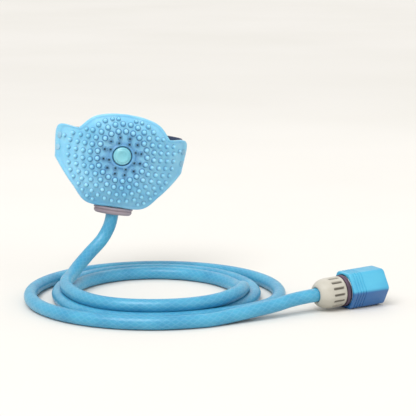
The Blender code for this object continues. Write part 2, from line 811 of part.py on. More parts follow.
def make_coupling_body(coupling):
    """Fixed body: a stub for the hose, a barrel, the socket for the plug, and the claws' windows."""
    profile = [
        (2.8 * MM, HOSE_PLUG_DEPTH + GAP),
        (4.2 * MM, HOSE_PLUG_DEPTH + GAP),
        (4.2 * MM, 22.8 * MM),
        (BODY_RADIUS, 22.8 * MM),
        (BODY_RADIUS, BODY_END),
        (SOCKET_RADIUS, BODY_END),
        (SOCKET_RADIUS, SOCKET_FLOOR),
        (2.8 * MM, SOCKET_FLOOR),
    ]
    body = turned("coupling_body", profile, ((0.14, 0.17, 0.24), 0.40), coupling, along="Z", count=40)
    windows = bmesh.new()
    for i in range(CLAW_COUNT):
        turn = claw_turn(i)
        place = Matrix.Translation(turn @ Vector((10.2 * MM, 0.0, 57.0 * MM))) @ turn.to_4x4()
        size = Matrix.Diagonal((7.0 * MM, 7.0 * MM, 7.4 * MM, 1.0))
        bmesh.ops.create_cube(windows, size=1.0, matrix=place @ size)
    data = bpy.data.meshes.new("claw_window_cutter")
    windows.to_mesh(data)
    windows.free()
    boolean(body, helper(add_object("claw_window_cutter", data, None, coupling)))


def claw_turn(index):
    """Rotation of a claw about the coupling's axis."""
    return Matrix.Rotation(math.tau * (index + 0.5) / CLAW_COUNT, 3, "Z")


def make_claws(coupling):
    """Locking claws in the body's windows. Their outer faces match the cone inside the sleeve."""
    slope = (CONE_LARGE - CONE_SMALL) / (CONE_END - CONE_START)
    half = 3.1 * MM
    for i in range(CLAW_COUNT):
        turn = claw_turn(i)
        rings = []
        for z in (54.0 * MM, 60.0 * MM):
            outer = CONE_SMALL + slope * (z - CONE_START) - 0.75 * MM
            inner = SOCKET_RADIUS - 0.7 * MM
            corners = [(inner, -half), (outer, -half), (outer, half), (inner, half)]
            rings.append([turn @ Vector((x, y, z)) for x, y in corners])
        origin = turn @ Vector((SOCKET_RADIUS, 0.0, 57.0 * MM))
        loft(f"locking_claw_{i + 1}", rings, STEEL, coupling, smooth=False, origin=origin)


def hexagon(across_flats, z, count=48):
    """A hexagon with softened corners and a flat at the bottom."""
    points = []
    for i in range(count):
        angle = math.tau * i / count
        off_flat = angle % math.radians(60) - math.radians(30)
        reach = min(across_flats / 2 / math.cos(off_flat), 0.555 * across_flats)
        points.append(Vector((reach * math.cos(angle), reach * math.sin(angle), z)))
    return points


def make_sleeve(coupling):
    """Sliding release sleeve: six flats outside; inside, the spring's pocket and the claws' cone."""
    pocket = 15.3 * MM
    step = 46.0 * MM

    def bore(radius, z):
        return circle(radius, (0.0, 0.0, z), (1, 0, 0), (0, 1, 0), 48)

    rings = [
        bore(pocket, SLEEVE_START),
        hexagon(SLEEVE_ACROSS_FLATS - 2.0 * MM, SLEEVE_START),
        hexagon(SLEEVE_ACROSS_FLATS, SLEEVE_START + 1.2 * MM),
        hexagon(SLEEVE_ACROSS_FLATS, SLEEVE_END - 1.2 * MM),
        hexagon(SLEEVE_ACROSS_FLATS - 2.0 * MM, SLEEVE_END),
        bore(CONE_LARGE, SLEEVE_END),
        bore(CONE_LARGE, CONE_END),
        bore(CONE_SMALL, CONE_START),
        bore(CONE_SMALL, step),
        bore(pocket, step),
    ]
    origin = (0.0, 0.0, SLEEVE_START)
    look = ((0.10, 0.45, 0.78), 0.35)
    loft("release_sleeve", rings, look, coupling, closed=True, smooth=False, origin=origin)


def make_coupling():
    """The whole quick-disconnect on its own axis."""
    coupling = empty("coupling_frame", coupling_matrix())
    make_nut(coupling)
    make_coupling_body(coupling)
    collet = [(4.5 * MM, 8.4 * MM), (9.0 * MM, 8.4 * MM), (11.7 * MM, 13.0 * MM)]
    collet += [(11.7 * MM, 22.4 * MM), (4.5 * MM, 22.4 * MM)]
    turned("hose_collet", collet, WHITE, coupling, along="Z", count=28)
    seat = [(BODY_RADIUS + GAP, 27.0 * MM), (15.0 * MM, 27.0 * MM), (15.0 * MM, 30.2 * MM)]
    seat.append((BODY_RADIUS + GAP, 30.2 * MM))
    turned("spring_seat", seat, ((0.05, 0.06, 0.10), 0.50), coupling, along="Z", count=32)
    seal = ring_profile(7.2 * MM, 1.1 * MM, SOCKET_FLOOR + 1.5 * MM, 8)
    turned("socket_seal", seal, RUBBER, coupling, along="Z", count=24)
    tube("sleeve_spring", helix(13.6 * MM, 31.4 * MM, 45.0 * MM, 4.0), 0.8 * MM, STEEL, coupling, sides=1)
    make_sleeve(coupling)
    make_claws(coupling)


def make_head():
    """The spray head in its own frame, tilted as it is held."""
    head = empty("head_frame", Matrix.Rotation(HEAD_TILT, 4, "Y"))
    make_pad(head)
    make_housing_front(head)
    make_housing_back(head)
    make_screws(head)
    make_spray_plate(head)
    make_gasket(head)
    make_valve_body(head)
    make_button(head)
    make_inlet(head)
    make_grip_liner(head)
    make_strap(head)


clear_scene()
make_head()
make_hose()
make_coupling()
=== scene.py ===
from math import atan2, copysign, cos, degrees, hypot, pi, radians, sin, sqrt, tau

import bmesh
import bpy
from mathutils import Matrix, Vector


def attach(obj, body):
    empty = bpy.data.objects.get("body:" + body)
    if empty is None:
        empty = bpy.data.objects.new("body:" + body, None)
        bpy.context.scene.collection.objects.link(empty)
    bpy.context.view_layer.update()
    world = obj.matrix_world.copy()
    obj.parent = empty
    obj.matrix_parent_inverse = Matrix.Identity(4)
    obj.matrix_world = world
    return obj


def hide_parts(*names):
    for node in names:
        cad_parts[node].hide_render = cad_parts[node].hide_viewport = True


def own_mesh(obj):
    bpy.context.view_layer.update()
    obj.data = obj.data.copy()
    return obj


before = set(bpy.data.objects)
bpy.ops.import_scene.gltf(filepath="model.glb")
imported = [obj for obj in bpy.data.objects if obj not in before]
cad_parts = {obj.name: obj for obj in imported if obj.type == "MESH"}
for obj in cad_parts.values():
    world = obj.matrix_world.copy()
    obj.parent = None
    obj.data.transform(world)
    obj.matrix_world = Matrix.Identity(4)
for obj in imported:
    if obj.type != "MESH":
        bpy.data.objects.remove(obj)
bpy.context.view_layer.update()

# Looks of the hand-worn bath sprayer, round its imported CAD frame. Lengths are in metres, +Z is up,
# and each piece's points are in the frame's own coordinates, with its object at the origin.

MM = 0.001

# ---------------- dimensions, most of them shared with the CAD

HEAD_TURN = Matrix.Rotation(radians(9), 4, "Y")

PAD_FRONT = -44.0 * MM
PAD_THICKNESS = 3.0 * MM
PAD_FLAT_HALF_WIDTH = 12.0 * MM
PAD_WRAP_RADIUS = 60.0 * MM
PAD_CROWN_MIDDLE = -5.0 * MM
PAD_CROWN_FLAT = 22.0 * MM
PAD_CROWN_DEPTH = 80.0 * MM
PAD_TOP = [(0.0, 41.0), (17.5, 39.5), (33.5, 34.0), (46.0, 21.0)]
PAD_EAR = [(65.5, 18.0), (64.5, -13.0)]
PAD_FLANK = [(55.5, -24.0), (43.5, -37.0), (28.0, -51.5), (0.0, -53.0)]

HOUSING_HALF_WIDTH = 38.0 * MM
HOUSING_TOP = 35.0 * MM
HOUSING_BOTTOM = -50.0 * MM
HOUSING_SQUARENESS = 2.3
HOUSING_WALL = 2.5 * MM
HOUSING_SPLIT = -30.0 * MM
PALM_FACE = -18.0 * MM
WINDOW_RADIUS = 22.0 * MM
GAP = 0.3 * MM

JET_RINGS = [(8, 13.5 * MM), (12, 18.6 * MM)]
BUTTON_RADIUS = 9.0 * MM
INLET_Y = -28.0 * MM
COLLAR_TOP = -53.4 * MM
COLLAR_BOTTOM = -60.5 * MM
COLLAR_HALF_WIDTH = 19.6 * MM
COLLAR_HALF_DEPTH = 10.0 * MM
HOSE_SEAT = -54.4 * MM

STRAP_WIDTH = 26.0 * MM
STRAP_THICKNESS = 2.0 * MM
STRAP_HEIGHT = 4.4 * MM
STRAP_SLANT = 2.5 / 60.0
STRAP_ROUTE = [
    (55.4, -15.6), (57.5, -12.0), (59.6, -8.0), (61.3, -3.0), (62.0, 3.5), (58.6, 10.0),
    (51.0, 15.2), (38.0, 19.4), (20.0, 21.6), (0.0, 22.2),
]
STRAP_STEP = 1.6 * MM
STRAP_RISE_START = 12 * MM
STRAP_RISE_LENGTH = 6 * MM
STRAP_HALVES = [("left", -1, 0.62, 0.0), ("right", 1, 0.60, STRAP_THICKNESS + 0.4 * MM)]
SEAM_INSET = 2.6 * MM
EAR_PLATE_START = 59.2
EAR_PLATE_WIDTH = 5.1
EAR_PLATE_THICKNESS = 1.4 * MM
EAR_PLATE_MIDDLE = 1.5 * MM
EAR_PLATE_HALF_HEIGHT = 12.5 * MM
RIVET_HEIGHTS = (-3.0, 9.0)
RIVET_ASIDE = 62.2 * MM

HOSE_RADIUS = 6.35 * MM
SURFACE = -133.0 * MM
LEAD_ROUTE = [
    (-12.6, -28.6, -72.2), (-20.5, -31.5, -85.5), (-33.0, -39.5, -97.0), (-44.5, -52.0, -107.0),
    (-53.0, -69.5, -113.6), (-57.9, -88.0, -114.3),
]
COIL_CENTRE = (27.0 * MM, -95.0 * MM, 0.0)
TAIL_ROUTE = [(126.5, -183.2, -122.0), (143.0, -176.2, -119.4), (156.8, -170.3, -117.9)]

COUPLING_START = (171.9 * MM, -163.9 * MM, -117.1 * MM)
COUPLING_YAW = radians(23)
COUPLING_PITCH = radians(2)
NUT_LENGTH = 26.5 * MM
NUT_GROOVES = 14
NUT_CAVITY_START = 8.0 * MM
SEAT_START = 27.0 * MM
SEAT_END = 30.2 * MM
SEAT_RADIUS = 15.0 * MM
WATERWAY_RADIUS = 2.8 * MM
COLLET_RADIUS = 4.2 * MM
COLLET_END = 22.8 * MM
BODY_RADIUS = 11.6 * MM
BODY_END = 71.5 * MM
SOCKET_RADIUS = 8.6 * MM
SOCKET_FLOOR = 44.0 * MM
SLEEVE_START = 31.0 * MM
SLEEVE_END = 71.0 * MM
SLEEVE_ACROSS_FLATS = 34.0 * MM
SLEEVE_CORNER_SHARE = 0.555
SLEEVE_POCKET_RADIUS = 15.3 * MM
SLEEVE_STEP = 46.0 * MM
SLEEVE_GROOVES = 4
CONE_START = 52.0 * MM
CONE_END = 66.0 * MM
CONE_SMALL = 12.1 * MM
CONE_LARGE = 14.3 * MM
CLAW_COUNT = 4
CLAW_ENDS = (54.0 * MM, 60.0 * MM)
CLAW_HALF_WIDTH = 3.1 * MM
CLAW_REST_GAP = 0.75 * MM
CLAW_REACH = 0.7 * MM
CLAW_WINDOW_MIDDLE = (10.2 * MM, 0.0, 57.0 * MM)
CLAW_WINDOW_SIZE = (7.0 * MM, 7.0 * MM, 7.4 * MM)
SEAL_RADIUS = 7.2 * MM
SEAL_WIRE = 1.1 * MM
SEAL_HEIGHT = 1.5 * MM
HOSE_PLUG_DEPTH = 6.0 * MM


# ---------------- material helpers


def colour(text):
    """Linear RGBA of an sRGB colour written as six hex digits."""
    channels = [int(text[i : i + 2], 16) / 255 for i in (0, 2, 4)]
    return (*[c / 12.92 if c <= 0.04045 else ((c + 0.055) / 1.055) ** 2.4 for c in channels], 1.0)


class Look:
    """A Principled material of one base colour, with short ways to add the nodes that vary it."""

    def __init__(self, name, base, **sockets):
        self.base = colour(base)
        self.material = bpy.data.materials.new(name)
        self.material.use_nodes = True
        self.tree = self.material.node_tree
        self.shader = self.tree.nodes["Principled BSDF"]
        for key, value in sockets.items():
            self.shader.inputs[key.replace("_", " ")].default_value = value

    def soften(self, weight, scale):
        """Let light into the surface."""
        self.shader.inputs["Subsurface Weight"].default_value = weight
        self.shader.inputs["Subsurface Scale"].default_value = scale

    def add(self, kind, inputs=None, **settings):
        made = self.tree.nodes.new(kind)
        for key, value in settings.items():
            setattr(made, key, value)
        for key, value in (inputs or {}).items():
            self.feed(value, made.inputs[key])
        return made

    def feed(self, value, socket):
        if isinstance(value, bpy.types.NodeSocket):
            self.tree.links.new(value, socket)
        else:
            socket.default_value = value

    def place(self, stretch=(1.0, 1.0, 1.0)):
        """Coordinates of the frame, in metres, stretched."""
        source = self.add("ShaderNodeTexCoord").outputs["Object"]
        return self.add("ShaderNodeMapping", {"Vector": source, "Scale": stretch}).outputs["Vector"]

    def noise(self, scale, detail=3.0, stretch=(1.0, 1.0, 1.0)):
        inputs = {"Vector": self.place(stretch), "Scale": scale, "Detail": detail}
        return self.add("ShaderNodeTexNoise", inputs).outputs["Fac"]

    def patches(self, scale, detail, low, high, to_low=0.0, to_high=1.0, stretch=(1.0, 1.0, 1.0)):
        """Soft patches of noise between two levels."""
        return self.remap(self.noise(scale, detail, stretch), low, high, to_low, to_high)

    def remap(self, value, low, high, to_low=0.0, to_high=1.0):
        inputs = {"Value": value, "From Min": low, "From Max": high, "To Min": to_low, "To Max": to_high}
        return self.add("ShaderNodeMapRange", inputs).outputs["Result"]

    def sums(self, operation, a, b=0.0):
        made = self.add("ShaderNodeMath", operation=operation)
        self.feed(a, made.inputs[0])
        self.feed(b, made.inputs[1])
        return made.outputs[0]

    def times(self, a, b):
        return self.sums("MULTIPLY", a, b)

    def plus(self, a, b):
        return self.sums("ADD", a, b)

    def tint(self, share, text):
        """Lay a colour over the base colour by a share."""
        made = self.add("ShaderNodeMix", data_type="RGBA", blend_type="MIX")
        for value, socket in zip((share, self.base, colour(text)), (0, 6, 7)):
            self.feed(value, made.inputs[socket])
        self.base = made.outputs[2]

    def attribute(self, name):
        return self.add("ShaderNodeAttribute", attribute_name=name).outputs["Fac"]

    def uv(self):
        """The piece's own surface coordinates, as two separate numbers."""
        source = self.add("ShaderNodeTexCoord").outputs["UV"]
        parts = self.add("ShaderNodeSeparateXYZ", {"Vector": source}).outputs
        return parts["X"], parts["Y"]

    def finish(self, roughness, height=None, distance=0.0, strength=0.0):
        self.feed(self.base, self.shader.inputs["Base Color"])
        self.feed(roughness, self.shader.inputs["Roughness"])
        if height:
            inputs = {"Height": height, "Distance": distance, "Strength": strength}
            self.feed(self.add("ShaderNodeBump", inputs).outputs["Normal"], self.shader.inputs["Normal"])
        return self.material


# ---------------- materials


def silicone(name, light, deep, painted_shade):
    """Soft cloudy silicone: painted shade, in the last colour, deepens it where the attribute depth is
    high, darkest round the button.
    """
    look = Look(name, light, Coat_Weight=0.12, Coat_Roughness=0.35)
    look.soften(0.25, 0.004)
    look.shader.inputs["Subsurface Radius"].default_value = (0.3, 0.7, 1.0)
    look.tint(look.patches(38.0, 4.0, 0.35, 0.68), deep)
    look.tint(look.patches(240.0, 2.0, 0.4, 0.7, 0.0, 0.35), deep)
    # Painted shade in creases, bores and round the button.
    look.tint(look.attribute("depth"), painted_shade)
    rough = look.patches(160.0, 3.0, 0.3, 0.7, 0.34, 0.52)
    grain = look.plus(look.noise(2600.0, 2.0), look.times(look.noise(420.0), 0.8))
    return look.finish(rough, grain, 0.00012, 0.35)


def moulded(name, light, dark, roughness=0.4, grain=1800.0, bump=0.35, painted_shade_colour=None, **sockets):
    """Moulded plastic: faint flow marks, a fine eroded grain and uneven gloss. Where a groove colour is
    given, it is laid on as painted shade in grooves and on undersides, where the attribute depth is
    high."""
    look = Look(name, light, **sockets)
    look.tint(look.patches(22.0, 4.0, 0.35, 0.66, stretch=(1.0, 1.0, 2.6)), dark)
    if painted_shade_colour:
        # Painted shade in grooves and on undersides.
        look.tint(look.attribute("depth"), painted_shade_colour)
    look.tint(look.patches(900.0, 2.0, 0.62, 0.78, 0.0, 0.22), dark)
    rough = look.patches(130.0, 3.0, 0.3, 0.7, roughness - 0.07, roughness + 0.09)
    return look.finish(rough, look.noise(grain, 3.0), 0.00008, bump)


BRAID_STRANDS = 8.0
BRAID_PITCH = 130.0


def braided_vinyl(name, light, deep, thread):
    """Jacketed hose: the jacket is satin, and a faint diamond braid shows under it."""
    look = Look(name, light, Coat_Weight=0.2, Coat_Roughness=0.2)
    look.soften(0.15, 0.003)
    around, along = look.uv()
    masks = []
    for way in (1.0, -1.0):
        turned_by = look.plus(look.times(around, BRAID_STRANDS * way), look.times(along, BRAID_PITCH))
        masks.append(look.remap(look.sums("SINE", look.times(turned_by, tau)), 0.55, 0.95))
    braid = look.sums("MAXIMUM", *masks)
    look.tint(look.patches(45.0, 4.0, 0.34, 0.68), deep)
    look.tint(look.times(braid, 0.15), thread)
    look.tint(look.patches(60.0, 2.0, 0.5, 0.75, 0.0, 0.3, (1.0, 1.0, 6.0)), deep)
    height = look.plus(look.times(braid, 0.8), look.times(look.noise(900.0), 0.4))
    return look.finish(look.patches(220.0, 3.0, 0.3, 0.7, 0.32, 0.48), height, 0.00006, 0.2)


WEFT_DENSITY = 620.0
WARP_DENSITY = 900.0


def webbing(name, dark, light):
    """Woven nylon strap: ribs across the width, crossed by fine warp threads."""
    look = Look(name, dark, Sheen_Weight=0.35, Sheen_Roughness=0.5)
    along, across = look.uv()
    weft = look.sums("SINE", look.times(along, tau * WEFT_DENSITY))
    shift = look.times(look.sums("ROUND", look.times(along, WEFT_DENSITY)), 0.5)
    warp = look.sums("SINE", look.times(look.plus(look.times(across, WARP_DENSITY), shift), tau))
    weave = look.remap(look.times(weft, warp), -1.0, 1.0)
    fuzz = look.noise(2200.0, 3.0)
    look.tint(weave, light)
    look.tint(look.patches(70.0, 3.0, 0.4, 0.7, 0.0, 0.5), dark)
    height = look.plus(weave, look.times(fuzz, 0.5))
    return look.finish(look.remap(fuzz, 0.3, 0.7, 0.72, 0.95), height, 0.0003, 0.8)


def foam_cloth(name, dark, light):
    """Foam under a knitted face: small round dimples with brighter threads between them."""
    look = Look(name, dark, Sheen_Weight=0.3, Sheen_Roughness=0.6)
    inputs = {"Vector": look.place(), "Scale": 640.0, "Randomness": 0.25}
    dimple = look.remap(look.add("ShaderNodeTexVoronoi", inputs).outputs["Distance"], 0.15, 0.6)
    look.tint(dimple, light)
    look.tint(look.patches(50.0, 4.0, 0.42, 0.7, 0.0, 0.4), dark)
    height = look.plus(dimple, look.times(look.noise(2400.0), 0.4))
    return look.finish(look.patches(300.0, 3.0, 0.3, 0.7, 0.8, 0.95), height, 0.0004, 0.7)


def metal(name, light, dark):
    """Brushed stainless steel, with smudges that dull it unevenly."""
    look = Look(name, light, Metallic=1.0)
    brushed = look.noise(700.0, 3.0, (1.0, 1.0, 14.0))
    look.tint(look.remap(brushed, 0.35, 0.7), dark)
    return look.finish(look.patches(90.0, 3.0, 0.35, 0.7, 0.22, 0.42), brushed, 0.00003, 0.3)


def rubber(name, dark, light):
    """Matte rubber with a dusty bloom."""
    look = Look(name, dark)
    look.tint(look.patches(180.0, 4.0, 0.42, 0.72), light)
    return look.finish(look.patches(420.0, 3.0, 0.3, 0.7, 0.5, 0.72), look.noise(1600.0), 0.0001, 0.4)


# The last colour of each silicone is painted shade.
SILICONE = silicone("blue_silicone", "92D2EC", "76C0E2", "4A87BC")
NUB_SILICONE = silicone("nub_silicone", "9CD8EF", "7EC6E5", "3C70A8")
SHELL = moulded("shell_plastic", "7FC4E2", "5AA9D0", 0.34, Coat_Weight=0.2, Coat_Roughness=0.2)
BUTTON = moulded(
    "button_plastic", "86CAD6", "6BBACB", 0.28, 2400.0, 0.2, Coat_Weight=0.35, Coat_Roughness=0.12
)
GREY = moulded("grey_plastic", "A5979F", "8A7C86", 0.5)
WHITE = moulded("white_plastic", "E6EAE9", "CFD6D6", 0.42)
# The nut's groove colour is painted shade in its grooves.
NUT = moulded("nut_plastic", "C3BFB4", "A9A598", 0.46, painted_shade_colour="5E584E")
# The sleeve's groove colour is painted shade, laid on its lower flats.
SLEEVE = moulded(
    "sleeve_plastic", "49AFD2", "3B9DC8", 0.36, painted_shade_colour="2563A0", Coat_Weight=0.25, Coat_Roughness=0.18
)
BODY = moulded("body_plastic", "4C5568", "343C4E", 0.42)
SEAT = moulded("seat_plastic", "5A4256", "3A2B3C", 0.5)
HOSE = braided_vinyl("braided_vinyl", "45A2C6", "3590B8", "86C8E0")
WEBBING = webbing("navy_webbing", "1E2942", "3B4D70")
THREAD = webbing("stitch_thread", "56688C", "8A9CBC")
LINER = foam_cloth("liner_cloth", "2E4A66", "4E7394")
STEEL = metal("brushed_steel", "D5D8DA", "9EA3A7")
ENAMEL = moulded("rivet_enamel", "93C3DB", "7CB0CC", 0.45)
RUBBER = rubber("seal_rubber", "15161A", "34363C")


# ---------------- mesh helpers


def link(made):
    """Put a new object in the scene."""
    bpy.context.scene.collection.objects.link(made)
    return made


def as_object(name, mesh):
    """Put a bmesh in the scene as an object."""
    data = bpy.data.meshes.new(name)
    mesh.to_mesh(data)
    mesh.free()
    return link(bpy.data.objects.new(name, data))


def painted_shade_mesh():
    """An empty mesh whose vertices carry the attribute depth, which sets how much painted shade a
    material lays on.
    """
    mesh = bmesh.new()
    return mesh, mesh.verts.layers.float.new("depth")


def make_piece(name, mesh, look, replaces, angle, body="head"):
    """Link a bmesh as a piece that rides on a body, smooth apart from edges sharper than the angle."""
    bmesh.ops.recalc_face_normals(mesh, faces=mesh.faces)
    made = as_object(name, mesh)
    made.data.shade_smooth()
    made.data.set_sharp_from_angle(angle=radians(angle))
    made.data.materials.append(look)
    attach(made, body)
    if replaces:
        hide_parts(*replaces)
    return made


def skin_rings(mesh, rings, place, closed=False, uv=None):
    """Skin rows of points, given in the frame of place, in a bmesh. A row of one point is a pole, and
    other end rows are capped. uv gives (u, v) of point i in row k, with i one past the end where a row
    closes."""
    layer = mesh.loops.layers.uv.verify() if uv else None
    rows = [[mesh.verts.new(place @ Vector(p)) for p in ring] for ring in rings]
    pairs = [(k, k + 1) for k in range(len(rows) - 1)]
    if closed:
        pairs.append((len(rows) - 1, 0))
    for k, after in pairs:
        low, high = rows[k], rows[after]
        count = max(len(low), len(high))
        for i in range(count):
            j = (i + 1) % count
            if len(low) == 1:
                corners = [(low[0], k, i)]
            else:
                corners = [(low[i], k, i), (low[j], k, i + 1)]
            if len(high) == 1:
                corners += [(high[0], k + 1, i)]
            else:
                corners += [(high[j], k + 1, i + 1), (high[i], k + 1, i)]
            face = mesh.faces.new([corner[0] for corner in corners])
            if uv:
                for loop, (_, row, place) in zip(face.loops, corners):
                    loop[layer].uv = uv(row, place)
    if not closed:
        for row in (rows[0], rows[-1]):
            if len(row) > 1:
                mesh.faces.new(row)
    return rows


def loft(name, rings, look, replaces, angle, place=HEAD_TURN, closed=False, uv=None, body="head"):
    """A piece skinned over rows of points that are given in the frame of place."""
    mesh = bmesh.new()
    skin_rings(mesh, rings, place, closed, uv)
    return make_piece(name, mesh, look, replaces, angle, body)


def angles(count):
    """Equal steps of angle once round."""
    return [tau * i / count for i in range(count)]


def polar(reach, angle, z):
    """The point at a reach and angle about Z."""
    return Vector((reach * cos(angle), reach * sin(angle), z))


def circle(radius, centre, across, up, count):
    """Points of a circle in the plane of two unit vectors."""
    points = []
    for angle in angles(count):
        way = cos(angle) * Vector(across) + sin(angle) * Vector(up)
        points.append(Vector(centre) + radius * way)
    return points


ALONG_Y = (Vector((0, 1, 0)), Vector((0, 0, 1)), Vector((1, 0, 0)))
ALONG_Z = (Vector((0, 0, 1)), Vector((1, 0, 0)), Vector((0, 1, 0)))


def swept(path, radius, count):
    """Circles along a path, each turned as little as possible from the one before."""
    rings = []
    across = None
    for i, point in enumerate(path):
        ahead = path[min(i + 1, len(path) - 1)]
        behind = path[max(i - 1, 0)]
        way = (ahead - behind).normalized()
        if across is None:
            across = way.orthogonal().normalized()
        across = (across - way * across.dot(way)).normalized()
        rings.append(circle(radius, point, across, way.cross(across), count))
    return rings


def turned_rings(profile, axes, start=(0.0, 0.0, 0.0), count=96):
    """Rings of a (radius, distance) profile about the first of three square axes, from start."""
    axis, across, up = axes
    rings = []
    for radius, distance in profile:
        middle = Vector(start) + axis * distance
        rings.append([middle] if radius == 0 else circle(radius, middle, across, up, count))
    return rings


def square_axes(way):
    """A unit vector with two more that are square to it."""
    across = way.orthogonal().normalized()
    return way, across, way.cross(across)


EASED_RADIUS = 0.5 * MM
EASED_STEPS = 3


def eased(profile):
    """A closed profile with its corners rounded."""
    points = [Vector(p) for p in profile]
    out = []
    for i, point in enumerate(points):
        before, after = points[i - 1] - point, points[(i + 1) % len(points)] - point
        reach = min(EASED_RADIUS, 0.45 * before.length, 0.45 * after.length)
        start, end = point + before.normalized() * reach, point + after.normalized() * reach
        for k in range(EASED_STEPS + 1):
            t = k / EASED_STEPS
            out.append(tuple((1 - t) ** 2 * start + 2 * t * (1 - t) * point + t**2 * end))
    return out


def flat_circle(radius, z, y=0.0, count=144):
    """A circle level with the ground of its own frame."""
    return circle(radius, (0.0, y, z), (1, 0, 0), (0, 1, 0), count)


def smooth_curve(points, steps=24):
    """A fine polyline on the Catmull-Rom curve through points."""
    route = [Vector(p) for p in points]
    route = [2 * route[0] - route[1]] + route + [2 * route[-1] - route[-2]]
    fine = []
    for a, b, c, d in zip(route, route[1:], route[2:], route[3:]):
        for k in range(steps):
            t = k / steps
            square, cube = 2 * a - 5 * b + 4 * c - d, 3 * b - a - 3 * c + d
            fine.append(0.5 * (2 * b + (c - a) * t + square * t**2 + cube * t**3))
    return fine + [route[-2]]


def running_lengths(path):
    """Length of a polyline from its start to each of its points."""
    lengths = [0.0]
    for a, b in zip(path, path[1:]):
        lengths.append(lengths[-1] + (b - a).length)
    return lengths


def spaced(fine, spacing):
    """Points about one spacing apart along a fine polyline, its two ends among them."""
    lengths = running_lengths(fine)
    count = max(2, round(lengths[-1] / spacing))
    points = []
    index = 0
    for k in range(count + 1):
        wanted = lengths[-1] * k / count
        while index < len(fine) - 2 and lengths[index + 1] < wanted:
            index += 1
        share = (wanted - lengths[index]) / (lengths[index + 1] - lengths[index])
        points.append(fine[index].lerp(fine[index + 1], min(1.0, share)))
    return points


def ease_between(keys, at):
    """Value at a place in (place, value) keys, eased from each key to the next."""
    for (a, low), (b, high) in zip(keys, keys[1:]):
        if at <= b:
            share = min(1.0, max(0.0, (at - a) / (b - a)))
            return low + (high - low) * share * share * (3 - 2 * share)
    return keys[-1][1]


# ---------------- shape of the head


def pad_depth(x, z):
    """Y of the pad's outer face, which wraps back round the hand at the sides."""
    aside = max(0.0, abs(x) - PAD_FLAT_HALF_WIDTH)
    wrap = PAD_WRAP_RADIUS - sqrt(PAD_WRAP_RADIUS**2 - aside**2)
    crown = max(0.0, abs(z - PAD_CROWN_MIDDLE) - PAD_CROWN_FLAT) ** 2 / PAD_CROWN_DEPTH
    return PAD_FRONT + wrap + crown


def pad_normal(x, z):
    """Unit vector into the pad, square to its outer face."""
    step = 0.01 * MM
    slope_x = (pad_depth(x + step, z) - pad_depth(x - step, z)) / (2 * step)
    slope_z = (pad_depth(x, z + step) - pad_depth(x, z - step)) / (2 * step)
    return Vector((-slope_x, 1.0, -slope_z)).normalized()


def under_pad(x, z, depth):
    """The point a given depth inside the pad's outer face."""
    return Vector((x, pad_depth(x, z), z)) + depth * pad_normal(x, z)


def pad_outline():
    """The pad's edge as (x, z), clockwise from the top, smooth but for the ears' corners."""
    half = []
    for span in (PAD_TOP, [PAD_TOP[-1], *PAD_EAR], [PAD_EAR[-1], *PAD_FLANK]):
        fine = smooth_curve([(x, z, 0.0) for x, z in span], 48)
        steps = 16 * (len(span) - 1)
        length = len(fine) - 1
        half += [fine[round(length * k / steps)] * MM for k in range(steps)]
    right = [(p.x, p.y) for p in half] + [(PAD_FLANK[-1][0] * MM, PAD_FLANK[-1][1] * MM)]
    left = [(-x, z) for x, z in right[-2:0:-1]]
    return right + left


def housing_outline(inset=0.0, count=144):
    """The housing's edge as (x, z): a squared oval, longer below the button than above it."""
    points = []
    for angle in angles(count):
        across = copysign(abs(sin(angle)) ** (2 / HOUSING_SQUARENESS), sin(angle))
        along = copysign(abs(cos(angle)) ** (2 / HOUSING_SQUARENESS), cos(angle))
        height = HOUSING_TOP if along > 0 else -HOUSING_BOTTOM
        points.append(((HOUSING_HALF_WIDTH - inset) * across, (height - inset) * along))
    return points


def skin(outline, hole, share, depth):
    """Points a given depth inside the pad's outer face, part of the way from a hole to an outline."""
    points = []
    for x, z in outline:
        length = hypot(x, z)
        reach = hole + (length - hole) * share
        points.append(under_pad(x * reach / length, z * reach / length, depth))
    return points


def level(outline, y):
    """An outline at one depth."""
    return [Vector((x, y, z)) for x, z in outline]


def reach_of(outline, x, z):
    """Distance from the button's centre to the outline in the direction of a point."""
    wanted = atan2(x, z)

    def apart(point):
        turn = abs(atan2(*point) - wanted)
        return min(turn, tau - turn)

    return hypot(*min(outline, key=apart))


def stand_on_pad(mesh, x, z, profile, count, size=1.0):
    """Turn a (radius, height, painted shade) profile, radius and height in millimetres, on the pad's
    outer face; the painted shade goes into the attribute depth.
    """
    foot = Vector((x, pad_depth(x, z), z))
    scaled = [(radius * size * MM, -height * size * MM) for radius, height, _ in profile]
    rings = turned_rings(scaled, square_axes(pad_normal(x, z)), foot, count)
    rows = skin_rings(mesh, rings, HEAD_TURN)
    layer = mesh.verts.layers.float["depth"]
    for row, (_, _, depth) in zip(rows, profile):
        for vert in row:
            vert[layer] = depth


# ---------------- the head's pieces


NUB_RINGS = 7
NUB_FIRST_RING = 24.6 * MM
NUB_RING_STEP = 6.9 * MM
NUB_SPACING = 7.5 * MM
NUB_CLOSEST = 5.9 * MM
NUB_RIM_SHARE = 0.925
NUB_RIM_GAP = 2.2 * MM
NUB_WIDEST = 55.5 * MM
NUB_SMALL = 0.7
NUB_EAR_ASIDE = 57.4 * MM
NUB_EAR_HEIGHTS = (-8.6, 0.8, 10.2)
SHADE_REACH = 34 * MM
BUTTON_GAP = 0.6 * MM
BUTTON_PROUD = 2.0 * MM


def button_shade(x, z):
    """How much painted shade deepens the silicone near the button, from 0 to 1."""
    return max(0.0, 1.0 - (hypot(x, z) - BUTTON_RADIUS) / SHADE_REACH) ** 1.3


